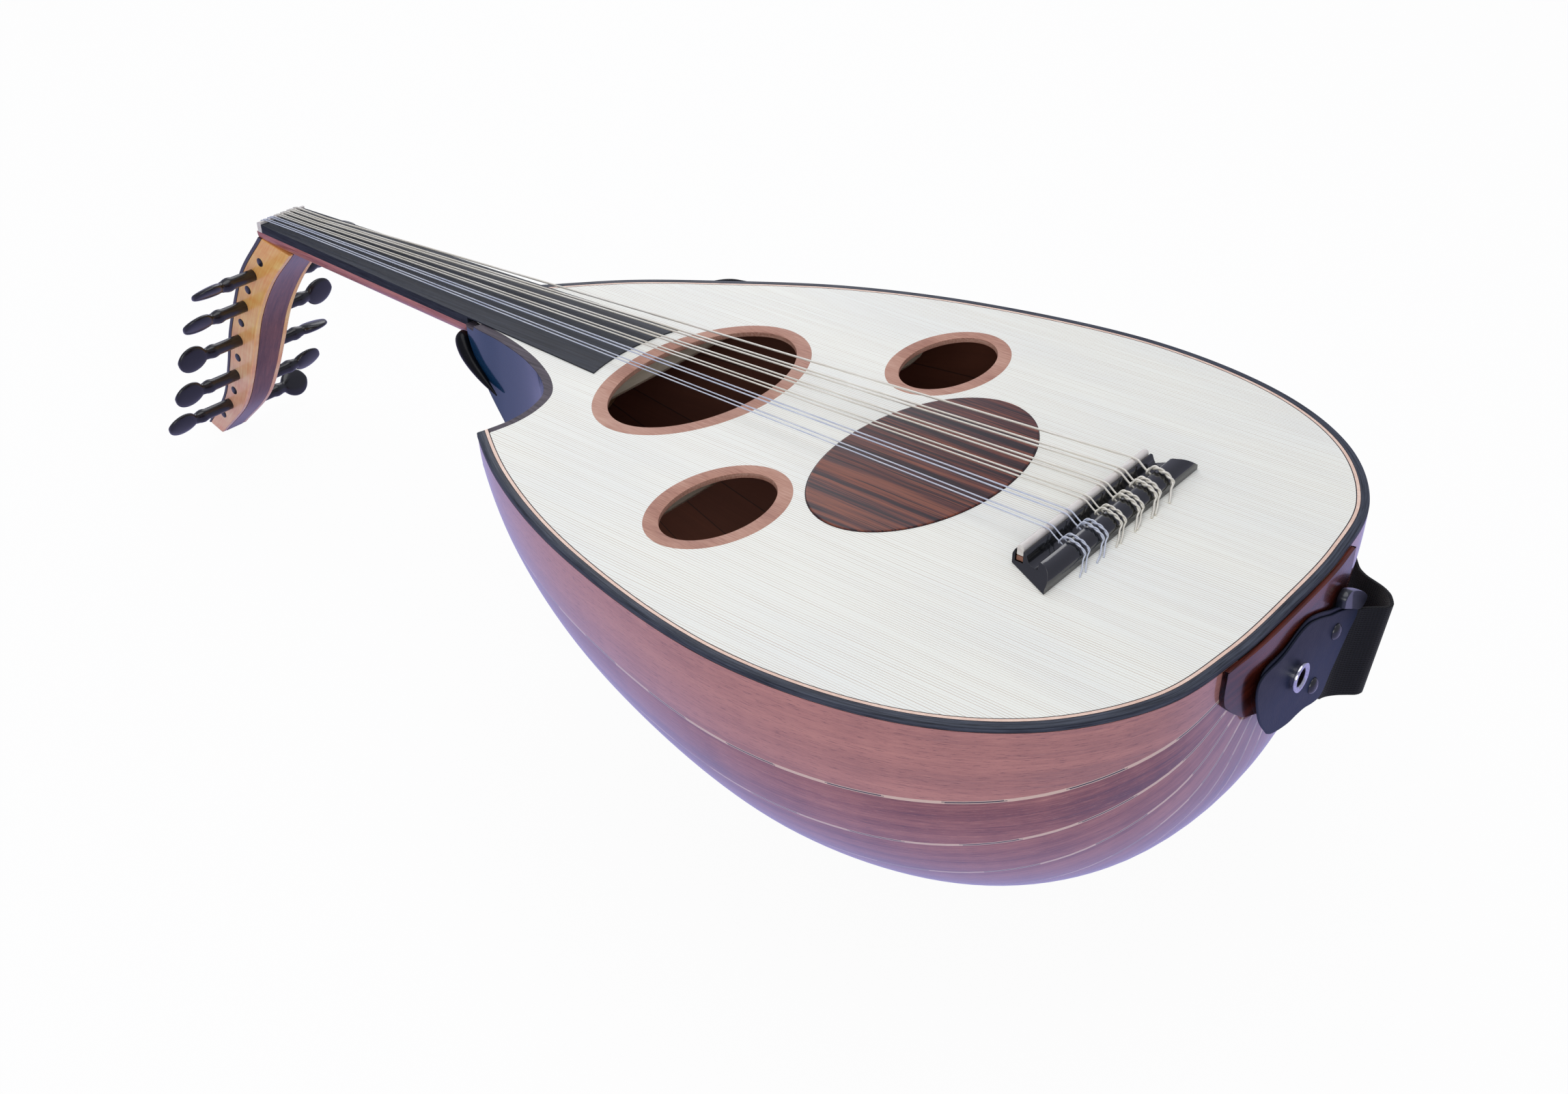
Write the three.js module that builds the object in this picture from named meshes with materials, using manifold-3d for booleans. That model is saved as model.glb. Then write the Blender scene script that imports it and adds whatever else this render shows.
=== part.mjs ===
// Electric oud with a cutaway, lying on its back: a short-necked lute of 15 ribs, 11 strings and 11 pegs.
// Millimetres. While it is drawn, x runs along the strings with 0 at the saddle and plus toward the tail,
// y crosses the soundboard with minus on the cutaway side, and z is up with 0 on top of the soundboard.
// At the end the whole group is moved, so that its origin is the middle of its foot print.
import * as THREE from 'three';
import Module from 'manifold-3d';
import { mergeVertices } from 'three/addons/utils/BufferGeometryUtils.js';

const wasm = await Module();
wasm.setup();

// Clearances shared by all pieces
const gap = 0.3;              // glue line or seat between two pieces
const overrun = 5;            // how far a cutter runs past what it cuts
const far_out = 400;          // a reach beyond the whole instrument
const near_out = 40;          // a reach beyond the body, short of the far side
const same_place = 1e-5;      // points closer than this are one point

// Body
const string_length = 585;
const body_length = 490;
const tail_to_saddle = 108.5;
const body_width = 369;
const bowl_depth = 188;
const joint_width = 58;
const rib_count = 15;
const rib_thickness = 2.6;
const side_rib_share = 0.08;
const rib_end_radius = 50;
const rim_drop = 2.8;
const binding_width = 4.9;
const binding_depth = 2.5;
const soundboard_thickness = 2;

// Outline of the half body, from the neck joint to the tail: shares of its length and of its half width
const outline_shares = [
  [0.075, 0.362], [0.15, 0.512], [0.29, 0.75], [0.45, 0.912], [0.66, 1],
  [0.82, 0.926], [0.92, 0.76], [0.98, 0.52], [0.997, 0.27],
];

// Neck, fingerboard and nut
const nut_width = 34.4;
const nut_thickness = 4;
const nut_height = 2.4;
const nut_back_drop = 1.2;
const fingerboard_thickness = 5.6;
const fingerboard_rise = 0.8;
const fingerboard_end_width = 66;
const fingerboard_to_ring = 9;
const neck_depth_at_joint = 18.6;
const neck_depth_at_nut = 16.5;
const neck_past_nut = 1.5;

// Sound holes, each an oval, and the rings let in round them. Places along the strings are shares of the way
// from the saddle to the neck joint, and the place across them is a share of the half width of the body.
const large_hole = { to_saddle_share: 0.597, half_length: 44.5, half_width: 71.5, ring_width: 8.4 };
const small_hole = {
  to_saddle_share: 0.3575, to_axis_share: 0.5057, half_length: 29, half_width: 41.9, ring_width: 7.6,
};
const ring_thickness = 2.6;
const pickguard = { to_saddle_share: 0.2233, half_length: 44.1, half_width: 74.4, thickness: 0.6 };
const oval_sides = 28;

// Bars under the soundboard, at shares of the same way
const bar_place_shares = [0.742, 0.461, 0.2307, 0.0524];
const bar_width = 6;
const bar_depth = 20;
const bar_end_share = 0.86;

// Cutaway: the scooped side and its thick black wall
const cutaway_length_share = 0.2194;
const cutaway_depth_share = 0.4607;
const cutaway_from_neck_side = 2;
const cutaway_wall_thickness = 6.5;
const cutaway_horn_thickness = 3.5;
// Points of the scoop as shares of its length along the strings and of its depth across them
const cutaway_shares = [
  [0, 0], [0.14, 0.037], [0.32, 0.066], [0.53, 0.127], [0.68, 0.195], [0.83, 0.295], [0.93, 0.41],
  [0.985, 0.58], [1, 0.75], [0.985, 0.9], [0.96, 1.03], [0.93, 1.2],
];

// Blocks inside the bowl
const neck_block_show = 24;
const neck_block_length = 46;
const tail_block_length = 24;

// End clasp over the rib ends: its edge from the middle of its foot to the rim, as shares of its size
const clasp = { thickness: 2.4, half_width: 61, drop: 53 };
const clasp_edge_shares = [
  [0, 1], [0.23, 0.94], [0.43, 0.82], [0.66, 0.7], [0.75, 0.62], [0.89, 0.48], [0.97, 0.38], [1, 0.25],
  [0.98, 0.053],
];
const clasp_edge_steps = 12;

// Bridge
const bridge_side_shift = 6;
const bridge = {
  front: 3.4, back: 21.4, tie_half_length: 68.4, front_half_length: 55.2,
  front_height: 5.2, lip_height: 7.7, slot_front: 1.9, slot_back: 2.3, slot_floor: 1.6,
  wall_back: 3.7, cove: 4.9, cove_height: 4.3, valley_start: 6.8, valley_end: 10.6, valley_height: 2.4,
  tie_front: 12, tie_height: 7.6, tie_round_start: 16.8,
};
// Round back of the tie block, as shares of its round part and of its height
const tie_round_shares = [[0.45, 0.88], [0.85, 0.58], [1, 0.3]];
// How late the ends of the bridge flare out toward its back, and in how many steps
const bridge_flare_power = 2.4;
const bridge_flare_steps = 6;
const string_hole_radius = 1.1;
const string_hole_sides = 6;
const string_hole_height = 4.2;
const saddle_top = 10;
const saddle_end_inset = 0.6;
const saddle_round_degrees = [20, 60, 90, 120, 160];
const pickup_height = 2.4;

// Strings, counted from the cutaway side: five pairs and a single bass string
const course_count = 6;
const bridge_course_spacing = 15.6;
const bridge_pair_gap = 3.5;
const first_course_at_bridge = -28;
const nut_course_spacing = 5.05;
const nut_pair_gap = 1.9;
const string_diameters = [0.7, 0.7, 0.8, 0.8, 0.9, 0.9, 1, 1, 1.1, 1.1, 1.2];
const clear_string_count = 4;
const string_sides = 5;
const string_over_peg = 0.9;
const string_tail_reach = 5;

// Pegbox, bent back under the nut
const pegbox = {
  reach: 116, drop: 176.7, top_drop: 9, cheek_thickness: 4, back_thickness: 5,
  top_half_width: 17, end_half_width: 10.5, steps: 18,
};
// Open front edge and closed back edge of the pegbox, as shares of its reach and drop
const pegbox_front_shares = [
  [0, 0], [0.259, 0.178], [0.397, 0.325], [0.53, 0.489], [0.625, 0.649], [0.746, 0.81], [0.985, 0.985],
];
const pegbox_back_shares = [
  [-0.259, 0.029], [-0.004, 0.19], [0.19, 0.368], [0.31, 0.534], [0.411, 0.672], [0.547, 0.816],
  [0.862, 1.01],
];
// Where the pegbox starts to close at its lower end, and where it is closed
const pegbox_end_shares = [0.95, 0.97];
// How far the strings are drawn together inside it
const pegbox_spread_share = 0.75;
// How fast it narrows below the nut: with less than 1, more at first
const pegbox_taper_power = 0.8;

// Pegs
const peg_count = 11;
const first_peg_share = 0.113;
const peg_step_share = 0.0782;
const peg_depth_share = 0.42;
const peg = {
  head_radius: 4, tip_radius: 3.1, collar_radius: 6, collar_thickness: 3, head_to_axis: 51,
  disc_half_length: 10.5, disc_half_width: 9.2, disc_half_thickness: 3.2, neck_length: 6, tip_past_cheek: 0.6,
};
const peg_hole_clearance = 0.5;
const peg_sides = 8;
// Profile of the disc for the fingers, as shares of its half width and half length
const peg_disc_shares = [[0, -1], [0.86, -0.75], [1, 0], [0.86, 0.75], [0, 1]];
const peg_collar_end_share = 0.8;
const peg_turns = [20, 75, 140, 50, 100, 10, 165, 35, 120, 85, 60];

// End-pin jack on the tail block and the strap on it
const jack = {
  drop: 36.5, barrel_radius: 5, ring_radius: 7.2, ring_thickness: 1.6, ring_off_leather: 2.6,
  bore_radius: 3.3, mouth_radius: 5.4, mouth_depth: 1.8, inner_reach: 30, wall: 1.7,
};
const strap_tab = {
  thickness: 3, off_clasp: 2.1, half_height: 24, left: 32, right: 52, drop: 49, slant: 14, slant_drop: 8,
  sewn_length: 14,
};
// Outline of the leather as shares of its left or right reach and of its half height, round from the left
const strap_tab_left_shares = [[1, 0.75], [0.88, 0.95], [0.6, 1]];
const strap_tab_right_share = 0.7;
const strap_tab_foot_shares = [[0.4, -0.83], [-0.1, -0.74], [-0.58, -0.42], [-0.8, 0]];
const strap = {
  width: 48, end_width: 24, thickness: 1.8, off_bowl: 2.2, off_leather: 0.8, loop_radius: 7, drop: 53,
  run_start_radius: 92, past_button: 9,
};
// Shares of its run over which the strap rises to the button, and over which it narrows to its end
const strap_rise_shares = [0.6, 0.97];
const strap_narrow_shares = [0.88, 0.96];
// The loop as shares of its radius, outward from the body and away from the leather end
const strap_loop_shares = [[0, -0.8], [0, 0.1], [0.5, 0.6], [1.8, 0.9], [2, 1.7], [1.1, 2.6]];
const strap_button = {
  radius: 7, stem_radius: 2.5, screw_length: 12, head_start: 8, head_thickness: 3, drop: 20, past_block: 9,
};

// Derived places along the strings
const joint_x = tail_to_saddle - body_length;
const tail_x = tail_to_saddle;
const nut_x = -string_length;
const half_body = body_width / 2;
const depth_ratio = bowl_depth / half_body;
const joint_to_saddle = -joint_x;
const cutaway_length = cutaway_length_share * body_length;
const cutaway_depth = cutaway_depth_share * half_body;
const cutaway_start = joint_width / 2 + cutaway_from_neck_side;

function lerp(a, b, share) {
  return a + (b - a) * share;
}

// A closed body from points and triangles, turned so that its faces point out
function closedGeometry(points, triangles) {
  let volume = 0;
  for (const [a, b, c] of triangles) {
    volume += points[a].dot(new THREE.Vector3().crossVectors(points[b], points[c]));
  }
  const flip = volume < 0;
  const places = points.flatMap((point) => [point.x, point.y, point.z]);
  const geometry = new THREE.BufferGeometry();
  geometry.setAttribute('position', new THREE.Float32BufferAttribute(places, 3));
  geometry.setIndex(triangles.flatMap(([a, b, c]) => (flip ? [a, c, b] : [a, b, c])));
  return geometry;
}

// A body between two grids of points, with rows along it and columns across it
function shell(outer, inner) {
  const rows = outer.length;
  const columns = outer[0].length;
  const last_row = rows - 1;
  const last_column = columns - 1;
  const points = [...outer.flat(), ...inner.flat()];
  const triangles = [];
  const at = (side, row, column) => (side * rows + row) * columns + column;
  const quad = (a, b, c, d) => triangles.push([a, b, c], [a, c, d]);
  for (let row = 0; row + 1 < rows; row++) {
    for (let column = 0; column + 1 < columns; column++) {
      quad(at(0, row, column), at(0, row, column + 1), at(0, row + 1, column + 1), at(0, row + 1, column));
      quad(at(1, row, column), at(1, row + 1, column), at(1, row + 1, column + 1), at(1, row, column + 1));
    }
    quad(at(0, row, 0), at(0, row + 1, 0), at(1, row + 1, 0), at(1, row, 0));
    quad(at(0, row + 1, last_column), at(0, row, last_column),
      at(1, row, last_column), at(1, row + 1, last_column));
  }
  for (let column = 0; column + 1 < columns; column++) {
    quad(at(0, 0, column + 1), at(0, 0, column), at(1, 0, column), at(1, 0, column + 1));
    quad(at(0, last_row, column), at(0, last_row, column + 1),
      at(1, last_row, column + 1), at(1, last_row, column));
  }
  return closedGeometry(points, triangles);
}

// A body through a row of convex rings, closed at both ends
function loft(rings) {
  const count = rings[0].length;
  const points = rings.flat();
  const triangles = [];
  for (let ring = 0; ring + 1 < rings.length; ring++) {
    for (let side = 0; side < count; side++) {
      const next = (side + 1) % count;
      const a = ring * count + side;
      const b = ring * count + next;
      triangles.push([a, b, b + count], [a, b + count, a + count]);
    }
  }
  const last = (rings.length - 1) * count;
  for (let side = 1; side + 1 < count; side++) {
    triangles.push([0, side + 1, side], [last, last + side, last + side + 1]);
  }
  return closedGeometry(points, triangles);
}

// A round rod through a row of points, with a flat end at each end
function rod(path, radius, sides) {
  const rings = path.map((point, index) => {
    const before = path[Math.max(index - 1, 0)];
    const after = path[Math.min(index + 1, path.length - 1)];
    const along = after.clone().sub(before).normalize();
    const across = new THREE.Vector3(0, 1, 0).addScaledVector(along, -along.y).normalize();
    const up = new THREE.Vector3().crossVectors(along, across);
    return Array.from({ length: sides }, (_, side) => {
      const angle = (side / sides) * Math.PI * 2;
      return point.clone()
        .addScaledVector(across, Math.cos(angle) * radius)
        .addScaledVector(up, Math.sin(angle) * radius);
    });
  });
  return loft(rings);
}

// A flat plate: an outline in x and y, pulled from one height to another
function plate(outline, bottom, top, holes = []) {
  const shape = new THREE.Shape(outline);
  shape.holes = holes.map((hole) => new THREE.Path(hole));
  const geometry = new THREE.ExtrudeGeometry(shape, { depth: top - bottom, bevelEnabled: false });
  geometry.translate(0, 0, bottom);
  return geometry;
}

// An outline in x and z, pulled across the instrument from one side to the other
function acrossPlate(outline, start, end) {
  const shape = new THREE.Shape(outline.map(([x, z]) => new THREE.Vector2(x, z)));
  const geometry = new THREE.ExtrudeGeometry(shape, { depth: end - start, bevelEnabled: false });
  geometry.rotateX(Math.PI / 2);
  geometry.translate(0, end, 0);
  return geometry;
}

// An outline in y and z, pulled along the strings
function alongPlate(outline, start, end) {
  const shape = new THREE.Shape(outline.map(([y, z]) => new THREE.Vector2(y, z)));
  const geometry = new THREE.ExtrudeGeometry(shape, { depth: end - start, bevelEnabled: false });
  geometry.applyMatrix4(new THREE.Matrix4().set(0, 0, 1, start, 1, 0, 0, 0, 0, 1, 0, 0, 0, 0, 0, 1));
  return geometry;
}

// A turned body whose axis runs along y, from a profile of radius and place on the axis
function turned(profile, segments) {
  const points = profile.map(([radius, place]) => new THREE.Vector2(radius, place));
  return new THREE.LatheGeometry(points, segments);
}

function solidOf(geometry) {
  const bare = geometry.clone();
  bare.deleteAttribute('normal');
  bare.deleteAttribute('uv');
  const merged = mergeVertices(bare, same_place);
  const mesh = new wasm.Mesh({
    numProp: 3,
    vertProperties: new Float32Array(merged.attributes.position.array),
    triVerts: new Uint32Array(merged.index.array),
  });
  const solid = new wasm.Manifold(mesh);
  return solid;
}

function geometryOf(solid) {
  const mesh = solid.getMesh();
  const geometry = new THREE.BufferGeometry();
  geometry.setAttribute('position', new THREE.Float32BufferAttribute(mesh.vertProperties, 3));
  geometry.setIndex(Array.from(mesh.triVerts));
  return geometry;
}

const group = new THREE.Group();

function addPiece(name, geometry, finish) {
  const mesh = new THREE.Mesh(geometry, new THREE.MeshStandardMaterial(finish));
  mesh.name = name;
  group.add(mesh);
  return mesh;
}

function numbered(name, index) {
  return `${name}_${String(index + 1).padStart(2, '0')}`;
}

// Finishes
const spruce = { color: 0xe4e0d2, roughness: 0.45 };
const rosewood_rib = { color: 0x7d4334, roughness: 0.3 };
const ring_wood = { color: 0xc09a86, roughness: 0.5 };
const dark_rosewood = { color: 0x4a2c28, roughness: 0.4 };
const ebony = { color: 0x26282c, roughness: 0.35 };
const glossy_black = { color: 0x16181d, roughness: 0.12 };
const polished_black = { color: 0x16181d, roughness: 0.3 };
const neck_wood = { color: 0x9a4a36, roughness: 0.35 };
const bare_wood = { color: 0x9a4a36, roughness: 0.6 };
const cheek_wood = { color: 0xc98a52, roughness: 0.3 };
const pegbox_back_wood = { color: 0x6b332c, roughness: 0.3 };
const clasp_wood = { color: 0x571f12, roughness: 0.15 };
const bone = { color: 0xe9e2d2, roughness: 0.4 };
const chrome = { color: 0xcfd2d6, roughness: 0.15, metalness: 1 };
const leather_black = { color: 0x202430, roughness: 0.5 };
const webbing_black = { color: 0x111217, roughness: 0.9 };
const nylon = { color: 0xc9d4e0, roughness: 0.3 };
const wound_string = { color: 0xe2dccb, roughness: 0.3 };

// The outline of the body as one curve round the tail, from joint to joint
const outline_points = [
  new THREE.Vector3(joint_x, -joint_width / 2, 0),
  ...outline_shares.map(([along, across]) => (
    new THREE.Vector3(joint_x + body_length * along, -half_body * across, 0))),
];
const mirrored_points = outline_points.map((point) => new THREE.Vector3(point.x, -point.y, 0)).reverse();
const outline_curve = new THREE.CatmullRomCurve3(
  [...outline_points, new THREE.Vector3(tail_x, 0, 0), ...mirrored_points], false, 'centripetal');

// Place on the half outline for a share from the joint, 0, to the tail, 1, moved out by an offset
function meridian(share, offset = 0) {
  const point = outline_curve.getPointAt(share / 2);
  const along = outline_curve.getTangentAt(share / 2);
  return { x: point.x + along.y * offset, radius: -point.y + along.x * offset };
}

// Share of the half outline where a rising test first holds, found by halving
const halvings = 40;
function shareWhere(test, from = 0) {
  let low = from;
  let high = 1;
  for (let step = 0; step < halvings; step++) {
    const middle = (low + high) / 2;
    if (test(meridian(middle))) high = middle;
    else low = middle;
  }
  return high;
}
const widest_along = outline_shares.find(([, across]) => across === 1)[0];
const widest_share = shareWhere((m) => m.x >= joint_x + body_length * widest_along);

const outline_steps = 60;
function bodyOutline(offset) {
  return Array.from({ length: outline_steps + 1 }, (_, index) => {
    const share = index / outline_steps;
    const point = outline_curve.getPointAt(share);
    const along = outline_curve.getTangentAt(share);
    return new THREE.Vector2(point.x + along.y * offset, point.y - along.x * offset);
  });
}

const steepest_share = 0.9;
function rimAngle(radius) {
  return Math.asin(Math.min(rim_drop / (depth_ratio * radius), steepest_share));
}

function bowlPoint(place, angle) {
  return new THREE.Vector3(
    place.x, -place.radius * Math.cos(angle), -depth_ratio * place.radius * Math.sin(angle));
}

// Angles of the joints between ribs, as shares from rim to rim
const rib_joints = Array.from({ length: rib_count + 1 }, (_, index) => {
  if (index === 0) return 0;
  if (index === rib_count) return 1;
  return side_rib_share + ((index - 1) / (rib_count - 2)) * (1 - 2 * side_rib_share);
});
function angleAt(place, share) {
  const rim = rimAngle(place.radius);
  return lerp(rim, Math.PI - rim, share);
}

const neck_block_end = joint_x + neck_block_show;
const rib_start_share = shareWhere((m) => m.x >= neck_block_end + gap);
const rib_end_share = shareWhere((m) => m.radius <= rib_end_radius, widest_share);

// Stations along the half outline, shared by the ribs and by all that fits in or over them
function stationsBetween(start_share, end_share, steps) {
  return Array.from({ length: steps + 1 }, (_, step) => lerp(start_share, end_share, step / steps));
}
const rib_steps = 18;
const neck_end_steps = 3;
const tail_end_steps = 4;
const rib_stations = stationsBetween(rib_start_share, rib_end_share, rib_steps);
const pole_share = 0.995;
const bowl_stations = [
  ...stationsBetween(0, rib_start_share, neck_end_steps).slice(0, -1), ...rib_stations,
  ...stationsBetween(rib_end_share, pole_share, tail_end_steps).slice(1),
];

// Angles across the bowl: the joints between ribs and the middle of each rib
const rib_lines = rib_joints.flatMap((share, index) => (
  index === 0 ? [share] : [(share + rib_joints[index - 1]) / 2, share]));

// The full bowl as a solid, out to a chosen offset from its outer face
function bowlSolid(offset, stations = bowl_stations, lines = rib_lines) {
  return solidOf(loft(stations.map((station) => {
    const place = meridian(station, offset);
    return lines.map((share) => bowlPoint(place, angleAt(place, share)));
  })));
}

// The scoop of the cutaway: its edge, and the region from that edge out past the body
const scoop_curve = new THREE.CatmullRomCurve3(cutaway_shares.map(([along, across]) => new THREE.Vector3(
  joint_x + cutaway_length * along, -cutaway_start - cutaway_depth * across, 0)), false, 'centripetal');
const scoop_steps = 26;
function scoopRegion(offset_at) {
  const edge = Array.from({ length: scoop_steps + 1 }, (_, index) => {
    const share = index / scoop_steps;
    const point = scoop_curve.getPoint(share);
    const along = scoop_curve.getTangent(share);
    const offset = offset_at(share);
    return new THREE.Vector2(point.x - along.y * offset, point.y + along.x * offset);
  });
  const last = edge[edge.length - 1];
  edge.push(new THREE.Vector2(last.x, -far_out));
  edge.push(new THREE.Vector2(joint_x - far_out, -far_out));
  edge.unshift(new THREE.Vector2(joint_x - far_out, edge[0].y));
  return solidOf(plate(edge, -far_out, overrun));
}
const wallThickness = (share) => lerp(cutaway_wall_thickness, cutaway_horn_thickness, share);
const scoop_void = scoopRegion(() => 0);
const scoop_with_wall = scoopRegion(wallThickness);
const scoop_with_wall_and_gap = scoopRegion((share) => wallThickness(share) + gap);

// The round end where the ribs stop and the tail block shows
const plug_sides = 24;
function plugSolid(radius) {
  return solidOf(turned([[0, 0], [radius, 0], [radius, far_out], [0, far_out]], plug_sides)
    .rotateZ(-Math.PI / 2).scale(1, 1, depth_ratio));
}
const tail_plug = plugSolid(rib_end_radius);

// A place on the far side of the bowl, and there the hole for the button that holds the neck end of the strap
const deepest_share = 0.98;
const fitting_sides = 16;
function farFace(share, depth, offset) {
  const place = meridian(share, offset);
  const drop = Math.min(depth / (depth_ratio * place.radius), deepest_share);
  return new THREE.Vector3(place.x, place.radius * Math.sqrt(1 - drop ** 2), 0);
}
const button_share = shareWhere((m) => m.x >= neck_block_end + strap_button.past_block);
const button_along = outline_curve.getTangentAt(button_share / 2);
const button_seat = farFace(button_share, strap_button.drop, 0);
function buttonPiece(profile) {
  return solidOf(turned(profile, fitting_sides)
    .rotateZ(Math.atan2(button_along.x, button_along.y) - Math.PI / 2)
    .translate(button_seat.x, button_seat.y, -strap_button.drop));
}
const button_hole = buttonPiece([
  [0, -strap_button.screw_length - gap], [strap_button.stem_radius + gap, -strap_button.screw_length - gap],
  [strap_button.stem_radius + gap, strap_button.head_start + gap], [0, strap_button.head_start + gap],
]);

// Ribs, each cut where the cutaway crosses it
function largestOf(solid) {
  return solid.decompose().sort((a, b) => b.volume() - a.volume())[0];
}
function ribGeometry(index) {
  const outer = [];
  const inner = [];
  for (const share of rib_stations) {
    const out_place = meridian(share);
    const in_place = meridian(share, -rib_thickness);
    const half_gap = gap / 2 / (depth_ratio * out_place.radius);
    const start = angleAt(out_place, rib_joints[index]) + (index > 0 ? half_gap : 0);
    const end = angleAt(out_place, rib_joints[index + 1]) - (index < rib_count - 1 ? half_gap : 0);
    const angles = [start, (start + end) / 2, end];
    outer.push(angles.map((angle) => bowlPoint(out_place, angle)));
    inner.push(angles.map((angle) => bowlPoint(in_place, angle)));
  }
  return shell(outer, inner);
}
for (let index = 0; index < rib_count; index++) {
  const cut = largestOf(solidOf(ribGeometry(index)).subtract(scoop_with_wall_and_gap)
    .subtract(tail_plug).subtract(button_hole));
  addPiece(numbered('rib', index), geometryOf(cut), rosewood_rib);
}

// Black wall that lines the cutaway, from the rim of the soundboard down to the face of the bowl
const body_solid = bowlSolid(0);
const inside_binding = solidOf(plate(bodyOutline(-binding_width - gap), -rim_drop - gap, 0));
const under_binding = body_solid.add(inside_binding);
const binding_space = solidOf(
  plate(bodyOutline(near_out), -binding_depth - gap, overrun, [bodyOutline(-binding_width - gap)]));
const cutaway_wall = largestOf(
  scoop_with_wall.subtract(scoop_void).intersect(under_binding).subtract(binding_space));
addPiece('cutaway_wall', geometryOf(cutaway_wall), glossy_black);

// Blocks that close the bowl at the neck and the tail
function boxBetween(low, high) {
  const size = new THREE.Vector3().subVectors(high, low);
  const geometry = new THREE.BoxGeometry(size.x, size.y, size.z);
  geometry.translate((low.x + high.x) / 2, (low.y + high.y) / 2, (low.z + high.z) / 2);
  return solidOf(geometry);
}
function slab(start, end) {
  return boxBetween(new THREE.Vector3(start, -far_out, -far_out),
    new THREE.Vector3(end, far_out, -soundboard_thickness - gap));
}
const inner_bowl = bowlSolid(-rib_thickness - gap, bowl_stations, rib_joints);
const neck_block = body_solid.intersect(slab(joint_x - overrun, neck_block_end))
  .add(inner_bowl.intersect(slab(neck_block_end - gap, joint_x + neck_block_length)))
  .subtract(scoop_with_wall_and_gap).subtract(button_hole);
addPiece('neck_block', geometryOf(largestOf(neck_block)), polished_black);

const jack_hole = solidOf(turned([
  [0, -far_out], [jack.barrel_radius + gap, -far_out], [jack.barrel_radius + gap, far_out], [0, far_out],
], fitting_sides).rotateZ(-Math.PI / 2).translate(tail_x, 0, -jack.drop));
const tail_slab = slab(tail_x - tail_block_length, tail_x + overrun);
const tail_block = inner_bowl.add(body_solid.intersect(plugSolid(rib_end_radius - gap)))
  .intersect(tail_slab).subtract(jack_hole);
addPiece('tail_block', geometryOf(largestOf(tail_block)), bare_wood);

// Clasp: a shaped wooden cap over the ends of the ribs
const clasp_edge = new THREE.CatmullRomCurve3([
  ...clasp_edge_shares.map(([across, drop]) => (
    new THREE.Vector3(clasp.half_width * across, -clasp.drop * drop, 0))),
], false, 'centripetal').getSpacedPoints(clasp_edge_steps);
const clasp_outline = [
  ...clasp_edge.slice(1).reverse().map((point) => [-point.x, point.y]),
  ...clasp_edge.map((point) => [point.x, point.y]),
];
const clasp_prism = solidOf(alongPlate(clasp_outline, tail_x - tail_block_length, tail_x + far_out));
const end_clasp = bowlSolid(clasp.thickness, bowl_stations, rib_joints).intersect(clasp_prism)
  .subtract(bowlSolid(gap)).subtract(jack_hole);
addPiece('end_clasp', geometryOf(largestOf(end_clasp)), clasp_wood);

// Soundboard with its bars, the three rings and the pickguard
function oval(hole, side, grow) {
  return Array.from({ length: oval_sides }, (_, index) => {
    const angle = (index / oval_sides) * Math.PI * 2;
    return new THREE.Vector2(
      -hole.to_saddle_share * joint_to_saddle + (hole.half_length + grow) * Math.cos(angle),
      side * (hole.to_axis_share ?? 0) * half_body + (hole.half_width + grow) * Math.sin(angle));
  });
}
const ring_places = [['soundhole_ring_large', large_hole, 0], ['soundhole_ring_treble', small_hole, -1],
  ['soundhole_ring_bass', small_hole, 1]];
const board_outline = bodyOutline(-binding_width - gap);
let soundboard = solidOf(plate(board_outline, -soundboard_thickness, 0,
  ring_places.map(([, hole, side]) => oval(hole, side, gap))));
function halfWidthAt(x) {
  const share = shareWhere((m) => m.x >= x);
  return meridian(share).radius;
}
for (const place_share of bar_place_shares) {
  const bar_x = -place_share * joint_to_saddle;
  const reach = halfWidthAt(bar_x) * bar_end_share;
  const bar = boxBetween(new THREE.Vector3(bar_x - bar_width / 2, -reach, -soundboard_thickness - bar_depth),
    new THREE.Vector3(bar_x + bar_width / 2, reach, -soundboard_thickness / 2));
  soundboard = soundboard.add(bar);
}
addPiece('soundboard', geometryOf(largestOf(soundboard.subtract(scoop_with_wall_and_gap))), spruce);
for (const [name, hole, side] of ring_places) {
  const ring = plate(oval(hole, side, 0), -ring_thickness, 0, [oval(hole, side, -hole.ring_width)]);
  addPiece(name, ring, ring_wood);
}
addPiece('pickguard', plate(oval(pickguard, 0, 0), 0, pickguard.thickness), dark_rosewood);

// Binding round the edge of the soundboard, open at the cutaway
const binding = solidOf(plate(bodyOutline(0), -binding_depth, 0, [bodyOutline(-binding_width)]));
const neck_end_cut = boxBetween(new THREE.Vector3(joint_x - far_out, -joint_width / 4, -far_out),
  new THREE.Vector3(joint_x + binding_width, joint_width / 4, far_out));
const edge_binding = largestOf(binding.subtract(neck_end_cut).subtract(scoop_void));
addPiece('edge_binding', geometryOf(edge_binding), ebony);

// Neck, fingerboard and nut
const neck_end_x = nut_x - nut_thickness - neck_past_nut;
const large_hole_x = -large_hole.to_saddle_share * joint_to_saddle;
const fingerboard_end_x = large_hole_x - large_hole.half_length - fingerboard_to_ring;
function neckHalfWidth(x) {
  return lerp(nut_width, fingerboard_end_width, (x - nut_x) / (fingerboard_end_x - nut_x)) / 2;
}
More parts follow.
